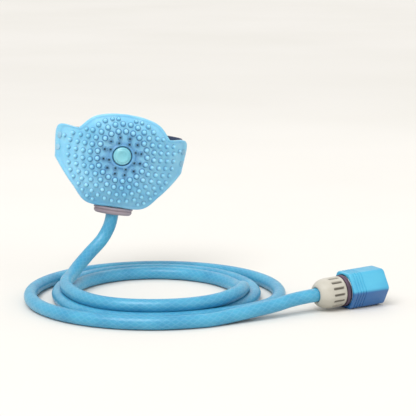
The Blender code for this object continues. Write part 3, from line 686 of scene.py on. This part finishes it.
def make_pad():
    """The pad's skin: rounded edge, a raised rim just inside it, and a lip round the button."""
    outline = pad_outline()
    hole = BUTTON_RADIUS + BUTTON_GAP
    # Each section: share of the way from the button to the edge, depth under the outer face in
    # millimetres, and painted shade.
    sections = [
        (0.0, 0.6, 0.9), (0.004, 0.0, 0.8), (0.012, -0.7, 0.55), (0.03, -1.0, 0.4),
        (0.05, -0.8, 0.5), (0.065, -0.1, 0.85), (0.085, 0.0, 0.6),
    ]
    sections += [(0.085 + 0.083 * k, 0.0, 0.0) for k in range(1, 10)]
    sections += [
        (0.872, 0.0, 0.0), (0.905, 0.0, 0.15), (0.918, -0.05, 0.2), (0.932, -0.5, 0.0),
        (0.955, -0.75, 0.0), (0.976, -0.65, 0.0), (0.99, -0.25, 0.05), (0.997, 0.3, 0.25),
        (1.0, 1.0, 0.4), (1.0, 2.2, 0.5), (0.994, 2.85, 0.5), (0.98, 3.0, 0.5),
    ]
    sections += [(0.75, 3.0, 0.3), (0.5, 3.0, 0.3), (0.25, 3.0, 0.3), (0.0, 3.0, 0.6)]
    mesh, layer = painted_shade_mesh()
    rings = [skin(outline, hole, share, depth * MM) for share, depth, _ in sections]
    rows = skin_rings(mesh, rings, HEAD_TURN, closed=True)
    # The attribute depth lays painted shade in the creases by the button's lip and at the rim, on the
    # back face, and more near the button; lower makes the pad darker towards the bottom.
    for row, flat, (_, _, dark) in zip(rows, rings, sections):
        for vert, point in zip(row, flat):
            lower = 0.22 * max(0.0, point.z / (PAD_FLANK[-1][1] * MM))
            vert[layer] = min(1.0, dark * 0.6 + 0.42 * button_shade(point.x, point.z) + lower)
    make_piece("pad_skin", mesh, SILICONE, ["scrubber_pad"], 50)


def nub_places(outline):
    """(x, z, size) of the scrubbing nubs: rings round the button, then a row along the rim and a few on
    the ears, where the rings leave room. All are kept off the rim and the rivets."""
    places = []

    def rim(x, z):
        return reach_of(outline, x, z) * NUB_RIM_SHARE - NUB_RIM_GAP

    def add_if_clear(x, z):
        if all(hypot(x - a, z - b) > NUB_CLOSEST for a, b, _ in places):
            places.append((x, z, NUB_SMALL))

    for number in range(NUB_RINGS):
        ring = NUB_FIRST_RING + number * NUB_RING_STEP
        count = round(tau * ring / NUB_SPACING)
        for i in range(count):
            angle = tau * (i + 0.5 * (number % 2)) / count
            x, z = ring * sin(angle), ring * cos(angle)
            if ring <= rim(x, z) and abs(x) <= NUB_WIDEST:
                places.append((x, z, 0.95 - 0.05 * number))
    for turn in range(181):
        for side in (-1, 1):
            angle = side * radians(turn)
            x, z = sin(angle), cos(angle)
            reach = rim(x, z)
            if abs(x * reach) <= NUB_WIDEST:
                add_if_clear(x * reach, z * reach)
    for side in (-1, 1):
        for height in NUB_EAR_HEIGHTS:
            add_if_clear(side * NUB_EAR_ASIDE, height * MM)
    return places


# Each row: radius and height in millimetres, and painted shade, heaviest in the crease at the foot.
NUB_PROFILE = [
    (3.5, -0.3, 0.6), (3.3, 0.06, 0.75), (2.85, 0.3, 1.0), (2.5, 0.9, 0.85), (2.25, 1.8, 0.4),
    (2.0, 2.7, 0.1), (1.75, 3.3, 0.0), (1.3, 3.7, 0.0), (0.7, 3.92, 0.0), (0.0, 4.0, 0.0),
]


def make_nubs():
    """Tapered round nubs, with painted shade darkest in the crease at the foot and least at the tip,
    deepened near the button.
    """
    mesh, _ = painted_shade_mesh()
    for x, z, size in nub_places(pad_outline()):
        near = button_shade(x, z)
        profile = []
        for radius, height, depth in NUB_PROFILE:
            profile.append((radius, height, min(1.0, depth * (0.55 + 0.6 * near) + 0.12 * near)))
        stand_on_pad(mesh, x, z, profile, 20, size)
    make_piece("pad_nubs", mesh, NUB_SILICONE, (), 70)


def make_jets():
    """The spray jets: a soft collar round each nozzle, and the nozzle's bore, made dark by painted
    shade.
    """
    collars, _ = painted_shade_mesh()
    nozzles, _ = painted_shade_mesh()
    # The third column is painted shade: in the crease at each collar's foot and inside it, and down each
    # nozzle's bore.
    collar = [
        (2.7, -0.3, 1.0), (2.65, 0.15, 1.0), (2.45, 0.9, 0.7), (2.2, 1.25, 0.5), (1.85, 1.3, 0.6),
        (1.6, 1.0, 0.9), (1.5, 0.3, 1.0), (0.0, 0.3, 1.0),
    ]
    nozzle = [
        (1.42, 0.1, 0.5), (1.42, 1.2, 0.2), (1.2, 1.55, 0.0), (0.95, 1.6, 0.3), (0.8, 1.35, 1.0),
        (0.8, 0.5, 1.0), (0.0, 0.4, 1.0),
    ]
    for count, ring in JET_RINGS:
        for i in range(count):
            angle = tau * (i + 0.5) / count
            x, z = ring * sin(angle), ring * cos(angle)
            stand_on_pad(collars, x, z, collar, 24)
            stand_on_pad(nozzles, x, z, nozzle, 20)
    make_piece("jet_collars", collars, NUB_SILICONE, (), 60)
    # The near-black last colour of jet_tips is painted shade in the bores.
    tips = silicone("jet_tips", "5E9FC6", "4A86AE", "12283C")
    make_piece("jet_nozzles", nozzles, tips, (), 50)


def make_button():
    """The button's cap: a soft dome with a finger dish, and a ring groove near its edge."""
    face = PAD_FRONT - BUTTON_PROUD
    profile = [
        (0, 0.75), (2.0, 0.7), (3.6, 0.45), (4.7, 0.12), (5.4, 0.0), (6.2, 0.12), (6.7, 0.35),
        (6.95, 0.7), (7.15, 0.72), (7.4, 0.5), (8.0, 0.85), (8.6, 1.5), (8.92, 2.2), (9.0, 3.0),
        (9.0, 7.0), (7.6, 7.0), (7.6, 3.4), (0, 3.2),
    ]
    rings = turned_rings([(r * MM, face + y * MM) for r, y in profile], ALONG_Y)
    loft("button_cap", rings, BUTTON, ["push_button"], 60, body="button")


LIP_INSET = 0.35 * MM
BACK_FLOOR = PALM_FACE - 3.5 * MM
BACK_EDGE = 2.6 * MM
BACK_STEPS = 6


def make_housing():
    """Front and back cups, with eased edges and a shadow line where they meet."""
    outer, inner, lip = housing_outline(), housing_outline(HOUSING_WALL), housing_outline(LIP_INSET)
    near = PAD_THICKNESS + 2 * GAP
    rings = [skin(outer, WINDOW_RADIUS, share, near) for share in (0.0, 0.2, 0.4, 0.6, 0.8, 0.94)]
    rings += [skin(housing_outline(0.5 * MM), WINDOW_RADIUS, 1.0, near + 0.1 * MM)]
    rings += [skin(outer, WINDOW_RADIUS, 1.0, near + 0.7 * MM)]
    rings += [level(outer, HOUSING_SPLIT - 1.2 * MM), level(lip, HOUSING_SPLIT - 0.8 * MM)]
    rings += [level(lip, HOUSING_SPLIT), level(inner, HOUSING_SPLIT)]
    rings += [skin(inner, WINDOW_RADIUS, 1 - 0.25 * k, near + HOUSING_WALL) for k in range(5)]
    loft("shell_front", rings, SHELL, ["housing_front"], 45, closed=True)
    split = HOUSING_SPLIT + GAP
    rings = [[Vector((0.0, BACK_FLOOR, 0.0))], level(inner, BACK_FLOOR), level(inner, split)]
    rings += [level(lip, split), level(lip, split + 0.7 * MM), level(outer, split + 1.1 * MM)]
    for k in range(BACK_STEPS + 1):
        turn = radians(90) * k / BACK_STEPS
        inset = BACK_EDGE * (1 - cos(turn))
        rings.append(level(housing_outline(inset), PALM_FACE - BACK_EDGE * (1 - sin(turn))))
    rings.append([Vector((0.0, PALM_FACE, 0.0))])
    loft("shell_back", rings, SHELL, ["housing_back"], 45)


def make_liner():
    """Foam pad under the palm, with a sewn channel near its edge and a raised middle."""
    low = PALM_FACE + GAP
    sections = [
        (3.0, 0.0), (2.9, 0.9), (3.4, 1.5), (4.2, 1.8), (5.3, 1.75), (6.2, 1.2), (6.6, 1.1),
        (7.2, 1.35), (8.6, 2.1), (11.0, 2.45), (15.0, 2.6), (22.0, 2.65),
    ]
    rings = [[Vector((0.0, low, 0.0))]]
    rings += [level(housing_outline(inset * MM), low + height * MM) for inset, height in sections]
    rings.append([Vector((0.0, low + 2.65 * MM, 0.0))])
    made = loft("palm_liner", rings, LINER, ["grip_liner"], 70)
    route = [Vector((x, low + 1.28 * MM, z)) for x, z in housing_outline(6.5 * MM, 360)]
    shape = (2.6 * MM, 0.32 * MM, 1.5, 0.5)
    make_stitches("liner_stitching", [route + route[:1]], *shape, lambda spot: Vector((0.0, 1.0, 0.0)))


STITCH_STEPS = 6
STITCH_SIDES = 8
STITCH_WEAVE = 0.4 * MM


def stitch_weave(row, place):
    """Surface coordinates of a stitch's thread."""
    return row * STITCH_WEAVE, place * STITCH_WEAVE


def make_stitches(name, routes, pitch, radius, rise, dip, facing):
    """Lock stitches along routes: each a short rounded thread that dips at both ends. facing gives the
    way out of the cloth at a point."""
    mesh = bmesh.new()
    for route in routes:
        stops = spaced(route, pitch)
        for start, end in zip(stops, stops[1:]):
            along = (end - start).normalized()
            out = facing(start)
            out = (out - along * out.dot(along)).normalized()
            across = along.cross(out).normalized()
            rings = []
            for k in range(STITCH_STEPS + 1):
                arch = sin(pi * k / STITCH_STEPS)
                middle = start.lerp(end, 0.08 + 0.84 * k / STITCH_STEPS)
                middle += out * radius * (rise * arch - dip)
                rings.append(circle(radius * (0.55 + 0.45 * arch), middle, across, out, STITCH_SIDES))
            skin_rings(mesh, rings, HEAD_TURN, uv=stitch_weave)
    make_piece(name, mesh, THREAD, (), 60)


def make_collar():
    """The oval collar at the hose's end: a rolled upper lip, a groove and a rounded lower edge."""
    middle = Vector((0.0, INLET_Y - 1 * MM, 0.0))
    hole = HOSE_RADIUS + GAP

    def oval(grow, z):
        width, depth = COLLAR_HALF_WIDTH + grow * MM, COLLAR_HALF_DEPTH + grow * MM
        return [middle + Vector((width * cos(a), depth * sin(a), z)) for a in angles(96)]

    def bore(radius, z):
        return flat_circle(radius, z, INLET_Y, 96)

    sections = [
        (-1.6, 0.0), (-0.6, -0.15), (-0.1, -0.6), (0.0, -1.2), (-0.15, -1.9), (-0.6, -2.25),
        (-1.1, -2.4), (-1.15, -3.1), (-0.7, -3.3), (-0.55, -4.0), (-0.8, -5.2), (-1.5, -6.2),
        (-2.6, -6.9), (-4.0, -7.1),
    ]
    rings = [bore(hole, COLLAR_TOP)]
    rings += [oval(grow, COLLAR_TOP + z * MM) for grow, z in sections]
    rings += [bore(hole + 1.0 * MM, COLLAR_BOTTOM), bore(hole + 0.3 * MM, COLLAR_BOTTOM + 0.3 * MM)]
    rings.append(bore(hole, COLLAR_BOTTOM + 1.2 * MM))
    loft("inlet_collar", rings, GREY, ["base_collar"], 50, closed=True)


def strap_points(side, reach, lift):
    """(x, y) points of one half of the strap from its ear to a share of the way across the hand."""
    fine = smooth_curve([(x * MM, y * MM, 0.0) for x, y in STRAP_ROUTE])
    fine += [Vector((-p.x, p.y, 0.0)) for p in reversed(fine[:-1])]
    points = spaced(fine[: int(len(fine) * reach)], STRAP_STEP)
    raised = []
    for point in points:
        rise = lift * min(1.0, max(0.0, (point.y - STRAP_RISE_START) / STRAP_RISE_LENGTH))
        raised.append(Vector((side * point.x, point.y + rise, 0.0)))
    return raised


def strap_inward(points, i):
    """The way into the hand at a point of the strap."""
    way = (points[min(i + 1, len(points) - 1)] - points[max(i - 1, 0)]).normalized()
    inward = Vector((way.y, -way.x, 0.0))
    return -inward if inward.dot(points[i]) > 0 else inward


STRAP_SECTION = [
    (-1.0, 0.5), (-0.985, 0.22), (-0.95, 0.06), (-0.9, 0.0), (-0.45, 0.03), (0.0, 0.04),
    (0.45, 0.03), (0.9, 0.0), (0.95, 0.06), (0.985, 0.22), (1.0, 0.5), (0.985, 0.78), (0.95, 0.94),
    (0.9, 1.0), (0.0, 1.0), (-0.9, 1.0), (-0.95, 0.94), (-0.985, 0.78),
]


def make_straps():
    """The two webbing halves, with thin selvedge edges and a row of stitches along each."""
    widths = [across * STRAP_WIDTH / 2 for across, _ in STRAP_SECTION] + [-STRAP_WIDTH / 2]

    def weave(row, place):
        return row * STRAP_STEP, widths[place]

    for label, side, reach, lift in STRAP_HALVES:
        points = strap_points(side, reach, lift)
        rings = []
        edges = {1: [], -1: []}
        for i, point in enumerate(points):
            inward = strap_inward(points, i)
            slim = 0.82 if i in (0, len(points) - 1) else 1.0
            middle = STRAP_HEIGHT + STRAP_SLANT * point.x
            ring = []
            for across, deep in STRAP_SECTION:
                height = Vector((0.0, 0.0, middle + across * STRAP_WIDTH / 2))
                ring.append(point + height + inward * STRAP_THICKNESS * (0.5 + (deep - 0.5) * slim))
            rings.append(ring)
            for edge, route in edges.items():
                route.append(point + Vector((0.0, 0.0, middle + edge * (STRAP_WIDTH / 2 - SEAM_INSET))))
        loft(f"webbing_{label}", rings, WEBBING, [f"strap_{label}"], 50, uv=weave)
        shape = (2.8 * MM, 0.3 * MM, 1.2, 0.6)
        name = f"strap_stitching_{label}"
        make_stitches(name, edges.values(), *shape, lambda spot: Vector((spot.x, spot.y, 0.0)))


EAR_PLATE_SECTION = [
    (-1, -0.5), (-0.97, -1), (0.97, -1), (1, -0.5), (1, 0.5), (0.97, 1), (-0.97, 1), (-1, 0.5),
]
EAR_PLATE_STEPS = 15


def make_brackets():
    """Moulded plates that clamp the strap to the pad's ears, with softened edges."""
    thick = EAR_PLATE_THICKNESS / 2
    middle = PAD_THICKNESS + 3 * GAP + thick
    for side, label in ((-1, "left"), (1, "right")):
        rings = []
        for k in range(EAR_PLATE_STEPS + 1):
            x = side * (EAR_PLATE_START + EAR_PLATE_WIDTH * k / EAR_PLATE_STEPS) * MM
            end = k in (0, EAR_PLATE_STEPS)
            deep = thick * (0.75 if end else 1.0)
            half = EAR_PLATE_HALF_HEIGHT * (0.985 if end else 1.0)
            ring = []
            for across, depth in EAR_PLATE_SECTION:
                ring.append(under_pad(x, EAR_PLATE_MIDDLE + across * half, middle + depth * deep))
            rings.append(ring)
        replaced = [f"ear_bracket_{label}"]
        loft(f"ear_plate_{label}", rings, GREY, replaced, 50)


RIVET_PROFILE = [
    (0, 4.6), (1.0, 4.64), (2.0, 4.8), (2.8, 5.1), (3.3, 5.5), (3.35, 5.7), (2.0, 5.75),
    (2.0, 15.6), (3.0, 15.6), (3.2, 15.8), (2.9, 16.3), (1.6, 16.55), (0, 16.6),
]


def make_rivets():
    """Domed rivets through the ears."""
    spots = [(side, height) for side in (-1, 1) for height in RIVET_HEIGHTS]
    profile = [(radius * MM, distance * MM) for radius, distance in RIVET_PROFILE]
    for number, (side, height) in enumerate(spots, 1):
        x, z = side * RIVET_ASIDE, height * MM
        rings = turned_rings(profile, square_axes(pad_normal(x, z)), under_pad(x, z, -6 * MM), 36)
        loft(f"rivet_{number}", rings, ENAMEL, [f"ear_rivet_{number}"], 50)


# ---------------- the hose

LANDING = radians(188)
LEAVING = radians(293) + 3 * tau
LEAVING_SLACK = 0.2
FIRST_TURN_END = LANDING + radians(230)
COIL_STEPS = 116
HOSE_SIDES = 28
HOSE_STEP = 3.6 * MM
RING_KEYS = [
    (188, 86.5), (250, 100.5), (293, 100.5), (360, 83.0), (450, 92.0), (548, 80.0), (610, 94.0),
    (653, 94.0), (720, 96.0), (810, 105.5), (908, 92.8), (970, 107.0), (1013, 107.0), (1056, 120.0),
    (1373, 120.0),
]


def coil_radius(angle):
    """Distance of the hose's centreline from the coil's centre. The angle grows along the hose."""
    return ease_between(RING_KEYS, degrees(angle)) * MM


def lift_needed(angle):
    """How far the first turn is held up by the turns that lie under it at the same place."""
    radius = coil_radius(angle)
    lift = 0.0
    for turns in (1, 2, 3):
        below = angle + turns * tau
        if below > LEAVING + LEAVING_SLACK:
            continue
        apart = abs(radius - coil_radius(below))
        if apart < 2 * HOSE_RADIUS:
            lift = max(lift, sqrt((2 * HOSE_RADIUS) ** 2 - apart**2))
    return lift


def coil_lift(angle):
    """The first turn's height over the surface, eased by the hose's own stiffness."""
    if angle > FIRST_TURN_END:
        return 0.0
    peaks = []
    for middle in range(-15, 16, 3):
        near = [max(LANDING, angle + radians(middle) + radians(d)) for d in (-5, 0, 5)]
        peaks.append(max(map(lift_needed, near)))
    return sum(peaks) / len(peaks)


def hose_route():
    """Centreline: down from the head onto the coil, round it, and up to the coupling."""
    seat = HEAD_TURN @ Vector((0.0, INLET_Y, HOSE_SEAT))
    mouth = HEAD_TURN @ Vector((0.0, INLET_Y, COLLAR_BOTTOM))
    route = [seat, mouth] + [Vector(p) * MM for p in LEAD_ROUTE]
    for k in range(COIL_STEPS + 1):
        angle = LANDING + (LEAVING - LANDING) * k / COIL_STEPS
        height = SURFACE + HOSE_RADIUS + coil_lift(angle)
        route.append(Vector(COIL_CENTRE) + polar(coil_radius(angle), angle, height))
    start = Vector(COUPLING_START)
    along = coupling_matrix().to_3x3() @ Vector((0.0, 0.0, 1.0))
    route += [Vector(p) * MM for p in TAIL_ROUTE] + [start, start + along * (HOSE_PLUG_DEPTH - GAP)]
    return spaced(smooth_curve(route, 8), HOSE_STEP)


def make_hose():
    """The hose as one tube swept along its route without twist."""
    path = hose_route()
    lengths = running_lengths(path)
    mesh = bmesh.new()
    rings = swept(path, HOSE_RADIUS, HOSE_SIDES)
    skin_rings(mesh, rings, Matrix(), uv=lambda k, i: (i / HOSE_SIDES, lengths[k]))
    replaced = ["hose_lead", "hose_coil", "hose_tail"]
    hose = make_piece("supply_hose", mesh, HOSE, replaced, 60)
    return hose, path, lengths[-1]


# ---------------- the quick-disconnect coupling


def pointing(yaw, pitch):
    """Unit vector turned by yaw about the vertical from +X, then raised by pitch."""
    level_part = cos(pitch)
    return Vector((cos(yaw) * level_part, sin(yaw) * level_part, sin(pitch)))


def coupling_matrix():
    """Frame of the coupling: its Z runs from the hose to the open end, and its Y points up."""
    along = pointing(COUPLING_YAW, COUPLING_PITCH)
    across = Vector((0.0, 0.0, 1.0)).cross(along).normalized()
    up = along.cross(across)
    turn = Matrix((across, up, along)).transposed().to_4x4()
    return Matrix.Translation(COUPLING_START) @ turn


def make_nut(place):
    """Clamp nut: a bulbous shoulder, then grip ribs with rounded grooves between them."""

    def ribbed(radius, z, cut):
        points = []
        for angle in angles(NUT_GROOVES * 12):
            groove = max(0.0, (cos(angle * NUT_GROOVES) - 0.35) / 0.65) ** 0.6
            points.append(polar(radius - cut * groove * MM, angle, z))
        return points

    bore = HOSE_RADIUS + GAP
    sections = [
        (6.9, 0.35, 0), (7.4, 0.05, 0), (8.4, 0.1, 0), (9.4, 0.6, 0), (10.7, 1.8, 0),
        (12.0, 3.6, 0), (13.2, 6.0, 0), (13.9, 8.4, 0), (14.2, 10.2, 0), (14.25, 11.6, 0),
        (14.3, 12.2, 0.5), (14.3, 12.8, 1.3), (14.3, 14.0, 1.6), (14.3, 22.8, 1.6),
        (14.3, 23.4, 1.2), (14.3, 23.9, 0.3), (14.25, 24.3, 0), (14.2, 25.4, 0), (13.9, 26.2, 0),
        (13.3, 26.5, 0),
    ]
    cavity = BODY_RADIUS + 0.5 * MM
    rings = [ribbed(radius * MM, z * MM, cut) for radius, z, cut in sections]
    rings += [ribbed(cavity, NUT_LENGTH, 0), ribbed(cavity, NUT_CAVITY_START, 0)]
    rings += [ribbed(bore, NUT_CAVITY_START, 0), ribbed(bore, 0.9 * MM, 0)]
    mesh, layer = painted_shade_mesh()
    rows = skin_rings(mesh, rings, place, closed=True)
    # The attribute depth lays painted shade in the grooves, by how far a point lies below the rib's top.
    for row, ring, (radius, _, _) in zip(rows, rings, sections):
        for vert, point in zip(row, ring):
            vert[layer] = min(1.0, (radius * MM - point.xy.length) / (1.4 * MM))
    make_piece("clamp_nut", mesh, NUT, ["hose_nut"], 45)


def make_seat(place):
    """The dark flange between the nut and the sleeve."""
    inner = BODY_RADIUS + GAP
    profile = [(inner, SEAT_START), (SEAT_RADIUS - 0.4 * MM, SEAT_START)]
    profile += [(SEAT_RADIUS, SEAT_START + 1.0 * MM), (SEAT_RADIUS, SEAT_END), (inner, SEAT_END)]
    rings = turned_rings(eased(profile), ALONG_Z)
    loft("seat_flange", rings, SEAT, ["spring_seat"], 50, place, closed=True)


def hexagon(across_flats, z):
    """A hexagon with softened corners and a flat at the bottom."""
    points = []
    for angle in angles(144):
        off_flat = angle % radians(60) - radians(30)
        reach = min(across_flats / 2 / cos(off_flat), SLEEVE_CORNER_SHARE * across_flats)
        points.append(polar(reach, angle, z))
    return points


def make_sleeve(place):
    """Release sleeve: six flats with eased ends and grip grooves near the hose side."""
    shape = [(-2.4, 0.0), (-1.2, 0.15), (-0.4, 0.55), (0.0, 1.3)]
    for groove in range(SLEEVE_GROOVES):
        start = 4.2 + 3.0 * groove
        shape += [(0.0, start - 0.6), (-0.15, start - 0.35), (-1.1, start - 0.1), (-1.1, start + 0.5)]
        shape += [(-0.15, start + 0.75), (0.0, start + 1.0)]
    shape += [(0.0, 38.2), (-0.3, 39.2), (-1.0, 39.7), (-2.0, 40.0)]
    rings = [flat_circle(SLEEVE_POCKET_RADIUS, SLEEVE_START)]
    rings += [hexagon(SLEEVE_ACROSS_FLATS + grow * MM, SLEEVE_START + z * MM) for grow, z in shape]
    bore = [(CONE_LARGE + 0.3 * MM, SLEEVE_END), (CONE_LARGE, SLEEVE_END - 0.4 * MM)]
    bore += [(CONE_LARGE, CONE_END), (CONE_SMALL, CONE_START), (CONE_SMALL, SLEEVE_STEP)]
    bore += [(SLEEVE_POCKET_RADIUS, SLEEVE_STEP)]
    rings += [flat_circle(radius, z) for radius, z in bore]
    mesh, layer = painted_shade_mesh()
    skin_rings(mesh, rings, place, closed=True)
    # Painted shade: the attribute depth darkens the flats below the sleeve's middle, as light from above
    # would.
    middle = place @ Vector((0.0, 0.0, (SLEEVE_START + SLEEVE_END) / 2))
    for vert in mesh.verts:
        below = (middle.z - vert.co.z) / (SLEEVE_ACROSS_FLATS / 2)
        vert[layer] = min(1.0, max(0.0, 0.5 + 8.0 * below))
    make_piece("hex_sleeve", mesh, SLEEVE, ["release_sleeve"], 32, "sleeve")


def make_coupling_body(place):
    """Barrel with the socket that takes the plug, its mouth eased, and windows for the claws."""
    profile = [
        (WATERWAY_RADIUS, HOSE_PLUG_DEPTH + GAP),
        (COLLET_RADIUS, HOSE_PLUG_DEPTH + GAP),
        (COLLET_RADIUS, COLLET_END),
        (BODY_RADIUS, COLLET_END),
        (BODY_RADIUS, BODY_END),
        (SOCKET_RADIUS + 0.9 * MM, BODY_END),
        (SOCKET_RADIUS, BODY_END - 1.6 * MM),
        (SOCKET_RADIUS, SOCKET_FLOOR),
        (WATERWAY_RADIUS, SOCKET_FLOOR),
    ]
    rings = turned_rings(eased(profile), ALONG_Z)
    replaced = ["coupling_body"]
    made = loft("socket_barrel", rings, BODY, replaced, 45, place, closed=True)
    windows = bmesh.new()
    for i in range(CLAW_COUNT):
        turn = claw_turn(i)
        spot = Matrix.Translation(turn @ Vector(CLAW_WINDOW_MIDDLE)) @ turn.to_4x4()
        size = Matrix.Diagonal((*CLAW_WINDOW_SIZE, 1.0))
        bmesh.ops.create_cube(windows, size=1.0, matrix=place @ spot @ size)
    cutter = as_object("window_cutter", windows)
    cut = made.modifiers.new("windows", "BOOLEAN")
    cut.object = cutter
    cut.operation = "DIFFERENCE"
    cut.solver = "EXACT"
    graph = bpy.context.evaluated_depsgraph_get()
    data = bpy.data.meshes.new_from_object(made.evaluated_get(graph))
    made.modifiers.clear()
    made.data = data
    bpy.data.objects.remove(cutter)


def claw_turn(index):
    """Rotation of a claw about the coupling's axis."""
    return Matrix.Rotation(tau * (index + 0.5) / CLAW_COUNT, 3, "Z")


def make_claws(place):
    """Locking claws with rounded edges, each on its own body."""
    slope = (CONE_LARGE - CONE_SMALL) / (CONE_END - CONE_START)
    inner, half = SOCKET_RADIUS - CLAW_REACH, CLAW_HALF_WIDTH
    for i in range(CLAW_COUNT):
        turn = claw_turn(i)
        mesh = bmesh.new()
        rings = []
        for z in CLAW_ENDS:
            outer = CONE_SMALL + slope * (z - CONE_START) - CLAW_REST_GAP
            corners = [(inner, -half), (outer, -half), (outer, half), (inner, half)]
            rings.append([turn @ Vector((x, y, z)) for x, y in corners])
        skin_rings(mesh, rings, place)
        edges = mesh.edges[:]
        bmesh.ops.bevel(mesh, geom=edges, offset=0.45 * MM, segments=3, affect="EDGES", profile=0.5)
        name = f"claw_{i + 1}"
        make_piece(f"{name}_block", mesh, STEEL, [f"locking_{name}"], 50, name)


def make_seal(place):
    """O-ring on the socket's floor."""
    section = circle(SEAL_WIRE, (SEAL_RADIUS, SOCKET_FLOOR + SEAL_HEIGHT, 0), (1, 0, 0), (0, 1, 0), 20)
    rings = turned_rings([(point.x, point.y) for point in section], ALONG_Z)
    loft("socket_o_ring", rings, RUBBER, ["socket_seal"], 60, place, closed=True)


# ---------------- springs

SPRING_STEPS = 40


def make_spring(name, node, joint, travel, place, foot, tip, wire, turns, radius):
    """A compression spring with closed ends, from its fixed foot to its tip. The argument joint is not
    used.
    """
    foot, tip = place @ Vector(foot), place @ Vector(tip)
    along = (tip - foot).normalized()
    aside = place.to_3x3() @ Vector((1.0, 0.0, 0.0))
    up = along.cross(aside)
    span = (tip - foot).length - 2 * wire
    close = 2.1 * wire
    keys = [(0, 0.0), (1, close), (turns - 1, span - close), (turns, span)]
    path = []
    for i in range(turns * SPRING_STEPS + 1):
        turn = i / SPRING_STEPS
        angle = tau * turn
        middle = foot + along * (wire + ease_between(keys, turn))
        path.append(middle + radius * (cos(angle) * aside + sin(angle) * up))
    mesh = bmesh.new()
    skin_rings(mesh, swept(path, wire, 10), Matrix())
    made = make_piece(name, mesh, STEEL, [node], 60)
    tuple(foot)
    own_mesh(made)


def make_springs(place):
    """The button's return spring and the release sleeve's spring."""
    spring = ("button_return_spring", "button_spring", "button_press", 3.5 * MM)
    ends = ((0.0, -31.45 * MM, 0.0), (0.0, -42.05 * MM, 0.0))
    make_spring(*spring, HEAD_TURN, *ends, wire=0.45 * MM, turns=6, radius=6.1 * MM)
    spring = ("sleeve_return_spring", "sleeve_spring", "sleeve_slide", 5.0 * MM)
    ends = ((0.0, 0.0, 30.6 * MM), (0.0, 0.0, 45.8 * MM))
    make_spring(*spring, place, *ends, wire=0.8 * MM, turns=5, radius=13.6 * MM)


# ---------------- CAD nodes that stay

KEPT_NODES = [
    (WHITE, ["spray_plate", "valve_body", "inlet_pipe", "valve_plunger", "hose_collet"]),
    (RUBBER, ["plate_gasket", "plunger_seal_1", "plunger_seal_2"]),
    (STEEL, [f"housing_screw_{i + 1}" for i in range(4)]),
]


def finish_kept_nodes():
    """Give each CAD node that stays in view its procedural material."""
    for look, names in KEPT_NODES:
        for name in names:
            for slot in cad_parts[name].material_slots:
                slot.material = look


# ---------------- stage, light and camera


FLOOR_REACH = 14.0
FLOOR_DROP = 0.2 * MM


def aim(made, way):
    """Point a light or a camera along way."""
    made.rotation_mode = "QUATERNION"
    made.rotation_quaternion = way.to_track_quat("-Z", "Y")


def make_stage():
    """A plain pale floor just under the coil, far wider than the view."""
    look = Look("pale_floor", "E5E3DF")
    look.tint(look.patches(1.6, 3.0, 0.3, 0.7), "E1DFDA")
    mesh = bmesh.new()
    corners = [(-1, -1), (1, -1), (1, 1), (-1, 1)]
    height = SURFACE - FLOOR_DROP
    mesh.faces.new([mesh.verts.new((x * FLOOR_REACH, y * FLOOR_REACH, height)) for x, y in corners])
    floor = as_object("floor", mesh)
    floor.data.materials.append(look.finish(0.85))


LIT_MIDDLE = Vector((0.05, -0.07, -0.06))
SKY_STRENGTH = 0.8
SUN_WAY = Vector((0.35, 0.6, -1.0))
SUN_POWER = 1.5
AREA_LIGHTS = [
    ("key", (-0.45, -0.75, 1.15), 0.8, 3.2),
    ("fill", (0.9, -0.9, 0.5), 1.0, 1.4),
    ("back", (0.2, 0.9, 0.9), 0.9, 1.2),
]


def make_light():
    """Soft studio light: a pale surround, a wide sun, a broad key, a weak fill and a back light."""
    world = bpy.data.worlds.new("surround")
    world.use_nodes = True
    background = world.node_tree.nodes["Background"]
    background.inputs["Color"].default_value = colour("FDFBF8")
    background.inputs["Strength"].default_value = SKY_STRENGTH
    bpy.context.scene.world = world
    sun = bpy.data.lights.new("sky", "SUN")
    sun.angle = radians(40)
    sun.energy = SUN_POWER
    aim(link(bpy.data.objects.new("sky", sun)), SUN_WAY)
    for name, spot, size, power in AREA_LIGHTS:
        data = bpy.data.lights.new(name, "AREA")
        data.shape = "DISK"
        data.size = size
        data.energy = power
        made = link(bpy.data.objects.new(name, data))
        made.location = spot
        aim(made, LIT_MIDDLE - Vector(spot))
    bpy.context.scene.view_settings.view_transform = "Standard"


CAMERA_YAW = radians(-97)
CAMERA_ELEVATION = radians(10)
CAMERA_DISTANCE = 1.6
CAMERA_TARGET = Vector((0.081, -0.075, -0.048))
CAMERA_LENS = 142.0


def make_camera():
    """The camera at the photograph's viewing angle."""
    data = bpy.data.cameras.new("camera")
    data.sensor_width = 36.0
    data.lens = CAMERA_LENS
    made = link(bpy.data.objects.new("camera", data))
    back = pointing(CAMERA_YAW, CAMERA_ELEVATION)
    made.location = CAMERA_TARGET + back * CAMERA_DISTANCE
    aim(made, -back)
    bpy.context.scene.camera = made


# ---------------- the scene

make_camera()
make_light()
make_stage()
hose, hose_path, hose_length = make_hose()
make_pad()
make_nubs()
make_jets()
make_button()
make_housing()
make_liner()
make_collar()
make_straps()
make_brackets()
make_rivets()
coupling = coupling_matrix()
make_nut(coupling)
make_seat(coupling)
make_sleeve(coupling)
make_coupling_body(coupling)
make_claws(coupling)
make_seal(coupling)
make_springs(coupling)
finish_kept_nodes()

[tuple(point) for point in hose_path]
